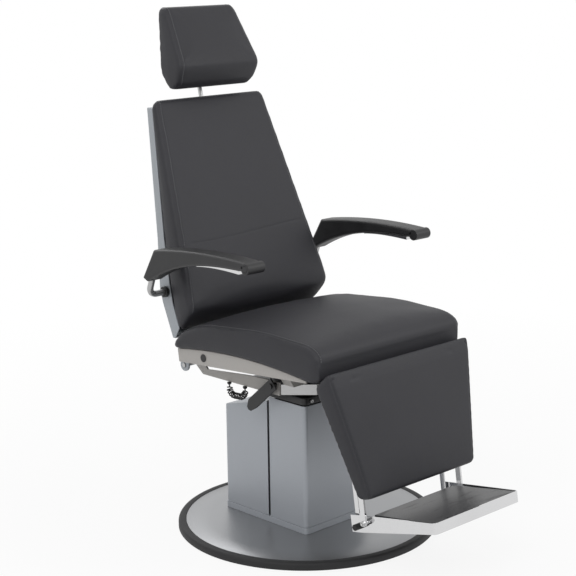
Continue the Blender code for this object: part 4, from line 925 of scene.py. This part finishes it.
class CHAIR_OT_armrests(bpy.types.Operator):
    """Models the moulded armrest pads with their scroll tips, and finishes their tubes and strips."""

    bl_idname = "chair.armrests"
    bl_label = "Armrests"

    # The pad from the side: corners as y and z, the arch of its top and the sweep of its underside
    SCROLL = (-0.134, 0.769)
    SCROLL_RADIUS = 0.0145
    REAR_TOP = (0.219, 0.770)
    REAR_LOW = (0.267, 0.690)
    HEEL = (0.249, 0.682)
    RISE = 0.010
    UNDER = 0.761
    SWEEP = 2.7
    ROUND = 0.0085
    POINTS = 26
    TIP_EDGE = 0.0012
    TIP_NICK = 0.0003
    TIP_SHARP = 0.0002
    STRIP_HALF = 0.024
    STRIP_DEEP = 0.0075
    STRIP_THIN = 0.0012
    STRIP_SUNK = 0.0006
    STRIP_TAPER = 1.3
    STRIP_POINTS = 24
    SOCKET_EDGE = 0.0009

    def under(self, y):
        """Height of the pad's underside."""
        start = self.SCROLL[0] + 0.8 * self.SCROLL_RADIUS
        share = max(0.0, (y - start) / (self.HEEL[0] - start))
        return self.UNDER - (self.UNDER - self.HEEL[1]) * share**self.SWEEP

    def outline(self):
        """The pad seen from the side: top, tip, underside and heel."""
        tip, tall = self.SCROLL[0], self.SCROLL[1] + self.SCROLL_RADIUS
        points = []
        for y in shares(self.REAR_TOP[0], tip, self.POINTS):
            share = (y - tip) / (self.REAR_TOP[0] - tip)
            arch = 4 * self.RISE * share * (1 - share)
            points.append((y, tall + (self.REAR_TOP[1] - tall) * share + arch))
        points += [(y, self.under(y)) for y in shares(tip, self.HEEL[0], self.POINTS)]
        return points + [self.REAR_LOW]

    def moulding(self, inner, outer):
        """The pad's body, well rounded along both sides."""
        bm = slab(self.outline(), inner, outer)
        rims = [e for e in bm.edges if abs(e.verts[0].co.x - e.verts[1].co.x) < 1e-6]
        bmesh.ops.bevel(
            bm, geom=rims, offset=self.ROUND, segments=6, profile=0.5, affect="EDGES", material=-1
        )
        return bm

    def tip(self, side, inner, outer):
        """The rolled tip: a cylinder across the pad with a ring in its outer end."""
        radius, wide, edge, nick = self.SCROLL_RADIUS, abs(outer - inner), self.TIP_EDGE, self.TIP_NICK
        profile = [(0, 0), (radius - edge, 0), (radius - nick, nick), (radius, edge)]
        profile += [(radius, wide - edge), (radius - nick, wide - nick), (radius - edge, wide)]
        profile += [(0.66 * radius, wide), (0.62 * radius, wide - edge), (0.54 * radius, wide - edge)]
        profile += [(0.50 * radius, wide), (0, wide)]
        return turned(profile, 48, (side, 0, 0), (inner, *self.SCROLL))

    def strip(self, low, high):
        """The bright underside of the arm, deepest behind the tip and thin towards the heel."""
        places = shares(low.y, high.y, self.STRIP_POINTS)
        top = [(y, self.under(y) + self.STRIP_SUNK) for y in places]
        foot = []
        for y in reversed(places):
            share = (y - low.y) / (high.y - low.y)
            deep = self.STRIP_DEEP * (1 - share) ** self.STRIP_TAPER
            foot.append((y, self.under(y) - self.STRIP_THIN - deep))
        middle = (low.x + high.x) / 2
        return slab(top + foot, middle - self.STRIP_HALF, middle + self.STRIP_HALF)

    def execute(self, context):
        for side, word in SIDES:
            node = "arm_pad_" + word
            low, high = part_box(node)
            inner, outer = (high.x, low.x) if side < 0 else (low.x, high.x)
            body = BODY_OF[node]
            made = place("moulded_" + node, self.moulding(inner, outer), "plastic", body, [node])
            soften(made, CAST)
            tip = self.tip(side, inner, outer)
            soften(place("rolled_tip_" + word, tip, "plastic", body), self.TIP_SHARP, 1)
            strip = self.strip(*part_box("arm_strip_" + word))
            soften(place("bright_strip_" + word, strip, "chrome", body, ["arm_strip_" + word]), SMALL)
            dress("arm_tube_" + word, "satin", FINE)
            dress("arm_socket_" + word, "plastic", self.SOCKET_EDGE, 3)
        return {"FINISHED"}


class CHAIR_OT_base(bpy.types.Operator):
    """Turns the round base plate and its rubber rim."""

    bl_idname = "chair.base"
    bl_label = "Round base"

    STEPS = 192
    RIM_WIDTH = 0.021
    RIM_ROUND = 0.0065
    RIM_FOOT = 0.002
    LIP = 0.0016
    LIP_NICK = 0.0005

    def rim(self):
        """The rim in section: a bevelled foot, a well rounded shoulder and a small inner lip."""
        low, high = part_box("base_rim")
        outer, inner = high.x, high.x - self.RIM_WIDTH
        top, bottom = high.z, low.z
        rim = [(inner, bottom), (outer - self.RIM_FOOT, bottom), (outer, bottom + self.RIM_FOOT)]
        for angle in shares(0, 90, 6):
            turn = math.radians(angle)
            reach = outer - self.RIM_ROUND + self.RIM_ROUND * math.cos(turn)
            rim.append((reach, top - self.RIM_ROUND + self.RIM_ROUND * math.sin(turn)))
        rim += [(inner + self.LIP, top), (inner + self.LIP_NICK, top - self.LIP_NICK)]
        return rim + [(inner, top - self.LIP), (inner, bottom)]

    def plate(self):
        """The plate in section, with rings on its top that keep its faces short."""
        low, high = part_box("base_plate")
        edge, face = high.x, high.z
        plate = [(0, low.z), (edge, low.z), (edge, face - CAST), (edge - FINE, face - FINE)]
        plate += [(edge - CAST, face)]
        return plate + [(share * edge, face) for share in (0.8, 0.5, 0.3)] + [(0, face)]

    def execute(self, context):
        place("turned_rim", turned(self.rim(), self.STEPS), "rubber", "base", ["base_rim"])
        place("turned_plate", turned(self.plate(), self.STEPS), "plate", "base", ["base_plate"])
        return {"FINISHED"}


class CHAIR_OT_column(bpy.types.Operator):
    """Finishes the column: covers, lid, slot liners, collar, guide, mast and mains inlet."""

    bl_idname = "chair.column"
    bl_label = "Column"

    def execute(self, context):
        for node in ("front_cover", "rear_cover", "rear_lid"):
            dress(node, "silver", FOLDED)
        dress("column_plinth", "silver", SMALL)
        # The slot liners and guide are black plastic parts, and their black in the slot between the covers
        # also stands in as painted shade inside the gap
        for node in ("slot_liner_left", "slot_liner_right", "column_guide", "mains_inlet"):
            dress(node, "plastic", FINE)
        dress("column_collar", "plastic", MOULDED, 3)
        dress("mast", "steel", SMALL)
        low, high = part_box("collar_bolt")
        radius, tall = (high.x - low.x) / 2, high.y - low.y
        at = ((low.x + high.x) / 2, high.y, (low.z + high.z) / 2)
        place("bolt_head", hex_bolt(radius, tall, (0, -1, 0), at), "steel", "base", ["collar_bolt"])
        return {"FINISHED"}


class CHAIR_OT_carrier(bpy.types.Operator):
    """Finishes the carrier under the seat: hub, plates, gussets, drive housing, rails, pins and lugs."""

    bl_idname = "chair.carrier"
    bl_label = "Carrier"

    def execute(self, context):
        dress("carrier_hub", "turned", CAST)
        dress("drive_housing", "plastic", FOLDED)
        dress("seat_pan", "plastic", SMALL)
        dress("lever_pin", "plastic", FINE)
        for _, word in SIDES:
            dress("carrier_plate_" + word, "warm")
            dress("gusset_" + word, "warm")
            dress("seat_rail_" + word, "warm")
            dress("rail_plug_" + word, "plastic", SMALL, 3)
            dress("leg_lug_" + word, "warm")
            dress("back_pin_" + word, "steel", SMALL)
        return {"FINISHED"}


class CHAIR_OT_lever(bpy.types.Operator):
    """Finishes the brake lever."""

    bl_idname = "chair.lever"
    bl_label = "Brake lever"

    def execute(self, context):
        dress("swivel_lever", "plastic", MOULDED, 3)
        return {"FINISHED"}


class CHAIR_OT_back_frame(bpy.types.Operator):
    """Finishes the shell behind the back, its hinge straps, and the headrest's guide, post and plate."""

    bl_idname = "chair.back_frame"
    bl_label = "Back shell and headrest post"

    def execute(self, context):
        dress("back_shell", "pale", FOLDED)
        for _, word in SIDES:
            dress("back_strap_" + word, "pale")
        dress("head_guide", "plastic", MOULDED)
        dress("head_post", "steel", FINE)
        dress("head_plate", "plastic", MOULDED)
        return {"FINISHED"}


class CHAIR_OT_footrest(bpy.types.Operator):
    """Finishes the leg rest's bars and links, and the footplate with its tread, stops and pivot bolts."""

    bl_idname = "chair.footrest"
    bl_label = "Leg bars and footplate"

    BOLT_RADIUS = 0.0062
    BOLT_TALL = 0.0034
    BAR_END = 0.012

    def pivot(self, node):
        """The middle of a bar's round lower end."""
        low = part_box(node)[0].z
        ends = [v.co for v in frame["nodes"][node].data.vertices if v.co.z < low + self.BAR_END]
        rear = max(end.y for end in ends)
        front = min(end.y for end in ends)
        return (rear + front) / 2, low + (rear - front) / 2

    def execute(self, context):
        dress("leg_pan", "plastic")
        dress("foot_frame", "chrome", CAST, 3)
        dress("foot_tread", "tread", MOULDED)
        for side, word in SIDES:
            dress("leg_bar_" + word, "chrome", MOULDED)
            dress("link_bar_" + word, "chrome", MOULDED)
            dress("foot_stop_" + word, "rubber", FOLDED, 3)
            low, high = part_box("leg_bar_" + word)
            at = (high.x if side > 0 else low.x, *self.pivot("leg_bar_" + word))
            bolt = hex_bolt(self.BOLT_RADIUS, self.BOLT_TALL, (side, 0, 0), at)
            place("pivot_bolt_" + word, bolt, "steel", BODY_OF["leg_bar_" + word])
        return {"FINISHED"}


class CHAIR_OT_studio(bpy.types.Operator):
    """Sets the white studio: floor, soft lights, sky and camera."""

    bl_idname = "chair.studio"
    bl_label = "Studio"

    # The camera: its place, its turns in degrees, its lens and sensor in millimetres and its shift
    EYE = (-2.78963, -2.86938, 1.54162)
    YAW = 43.98672
    PITCH = 12.546465
    ROLL = -0.7178617
    LENS = 97.236
    SENSOR = 36.0
    SHIFT = (-0.01957, -0.00103)

    # Place, size and power of each lamp
    LAMPS = (
        ((-3.0, -1.6, 3.6), (2.6, 2.6), 60.0),
        ((2.0, -3.2, 2.8), (2.4, 2.4), 42.0),
        ((0.4, 2.8, 3.2), (3.0, 2.0), 38.0),
    )
    AIM = (0, 0, 0.6)
    FLOOR_HALF = 60.0

    # Light of the sky, share of the floor's glow that grows with distance, and where it does so
    AMBIENT = 0.42
    KEPT = 0.12
    WHITE_FROM = 0.7
    WHITE_BY = 2.6

    def seen(self, made):
        """One where the camera, a mirror or glass looks, and nought where light is gathered."""
        path = made.node("LightPath").socket.node
        kinds = ("Is Camera Ray", "Is Glossy Ray", "Is Transmission Ray")
        look, mirror, glass = (Wire(made, path.outputs[kind]) for kind in kinds)
        return look.sum("MAXIMUM", look.sum("MAXIMUM", look, mirror), glass)

    def floor(self):
        """A matt pale floor that keeps the shadow, and goes over into plain white further out."""
        bm = bmesh.new()
        bmesh.ops.create_grid(bm, x_segments=1, y_segments=1, size=self.FLOOR_HALF)
        mesh = bpy.data.meshes.new("studio_floor")
        bm.to_mesh(mesh)
        bm.free()
        made = Finish("white_floor")
        made.shade(Base_Color=tone_of("floor"), Roughness=0.9, Specular_IOR_Level=0.05)
        glow = made.node("Emission", None, {"Color": (1.0, 1.0, 1.0), "Strength": 1.0}, "Emission")
        spot = made.node("TexCoord", out="Object")
        far = made.node("VectorMath", {"operation": "LENGTH"}, {0: spot}, "Value")
        share = made.ramp(far, self.WHITE_FROM, self.WHITE_BY) * self.KEPT + (1 - self.KEPT)
        matt = Wire(made, made.shader.outputs["BSDF"])
        both = made.node("MixShader", None, {0: share * self.seen(made), 1: matt, 2: glow})
        made.put(made.tree.nodes["Material Output"].inputs["Surface"], both)
        mesh.materials.append(made.material)
        plane = bpy.data.objects.new("studio_floor", mesh)
        bpy.context.scene.collection.objects.link(plane)

    def lamps(self):
        for number, (spot, size, power) in enumerate(self.LAMPS):
            light = bpy.data.lights.new("soft_light_%d" % number, "AREA")
            light.shape = "RECTANGLE"
            light.size, light.size_y = size
            light.energy = power
            made = bpy.data.objects.new(light.name, light)
            made.location = spot
            aim = Vector(self.AIM) - Vector(spot)
            made.rotation_euler = aim.to_track_quat("-Z", "Y").to_euler()
            bpy.context.scene.collection.objects.link(made)

    def sky(self):
        world = bpy.data.worlds.new("studio_sky")
        world.use_nodes = True
        made = Shading(world.node_tree)
        level = self.seen(made) * (1 - self.AMBIENT) + self.AMBIENT
        ground = world.node_tree.nodes["Background"]
        ground.inputs["Color"].default_value = (1.0, 1.0, 1.0, 1.0)
        made.put(ground.inputs["Strength"], level)
        bpy.context.scene.world = world

    def camera(self):
        yaw, pitch, roll = (math.radians(a) for a in (self.YAW, self.PITCH, self.ROLL))
        ahead = Vector((math.sin(yaw) * math.cos(pitch), math.cos(yaw) * math.cos(pitch), -math.sin(pitch)))
        level = Vector((math.cos(yaw), -math.sin(yaw), 0.0))
        right = level * math.cos(roll) + level.cross(ahead) * math.sin(roll)
        lens = bpy.data.cameras.new("studio_camera")
        lens.sensor_fit = "HORIZONTAL"
        lens.sensor_width = self.SENSOR
        lens.lens = self.LENS
        lens.shift_x, lens.shift_y = self.SHIFT
        lens.dof.use_dof = False
        made = bpy.data.objects.new("studio_camera", lens)
        turn = Matrix((right, right.cross(ahead), -ahead)).transposed().to_4x4()
        made.matrix_world = Matrix.Translation(self.EYE) @ turn
        bpy.context.scene.collection.objects.link(made)
        bpy.context.scene.camera = made

    def execute(self, context):
        self.floor()
        self.lamps()
        self.sky()
        self.camera()
        context.scene.view_settings.view_transform = "Standard"
        return {"FINISHED"}


OPERATORS = (
    CHAIR_OT_studio,
    CHAIR_OT_cord,
    CHAIR_OT_back,
    CHAIR_OT_seat,
    CHAIR_OT_head,
    CHAIR_OT_leg,
    CHAIR_OT_armrests,
    CHAIR_OT_base,
    CHAIR_OT_column,
    CHAIR_OT_carrier,
    CHAIR_OT_lever,
    CHAIR_OT_back_frame,
    CHAIR_OT_footrest,
)


class CHAIR_PT_dressing(bpy.types.Panel):
    """Lists the operators with the colours and sizes that they use."""

    bl_idname = "CHAIR_PT_dressing"
    bl_label = "Examination Chair"
    bl_space_type = "VIEW_3D"
    bl_region_type = "UI"
    bl_category = "Chair"

    def draw(self, context):
        column = self.layout.column()
        for operator in OPERATORS:
            column.operator(operator.bl_idname)
        for group in (colours(), sizes()):
            box = self.layout.box()
            for key in type(group).__annotations__:
                box.prop(group, key)


CLASSES = (ChairColours, ChairSizes, *OPERATORS, CHAIR_PT_dressing)


def register():
    for kind in CLASSES:
        bpy.utils.register_class(kind)
    bpy.types.Scene.chair_colours = PointerProperty(type=ChairColours)
    bpy.types.Scene.chair_sizes = PointerProperty(type=ChairSizes)


def unregister():
    del bpy.types.Scene.chair_sizes
    del bpy.types.Scene.chair_colours
    for kind in reversed(CLASSES):
        bpy.utils.unregister_class(kind)


def main():
    register()
    bpy.ops.chair.studio()
    bpy.ops.chair.cord()
    bpy.ops.chair.back()
    bpy.ops.chair.seat()
    bpy.ops.chair.head()
    bpy.ops.chair.leg()
    bpy.ops.chair.armrests()
    bpy.ops.chair.base()
    bpy.ops.chair.column()
    bpy.ops.chair.carrier()
    bpy.ops.chair.lever()
    bpy.ops.chair.back_frame()
    bpy.ops.chair.footrest()


if __name__ == "__main__":
    main()
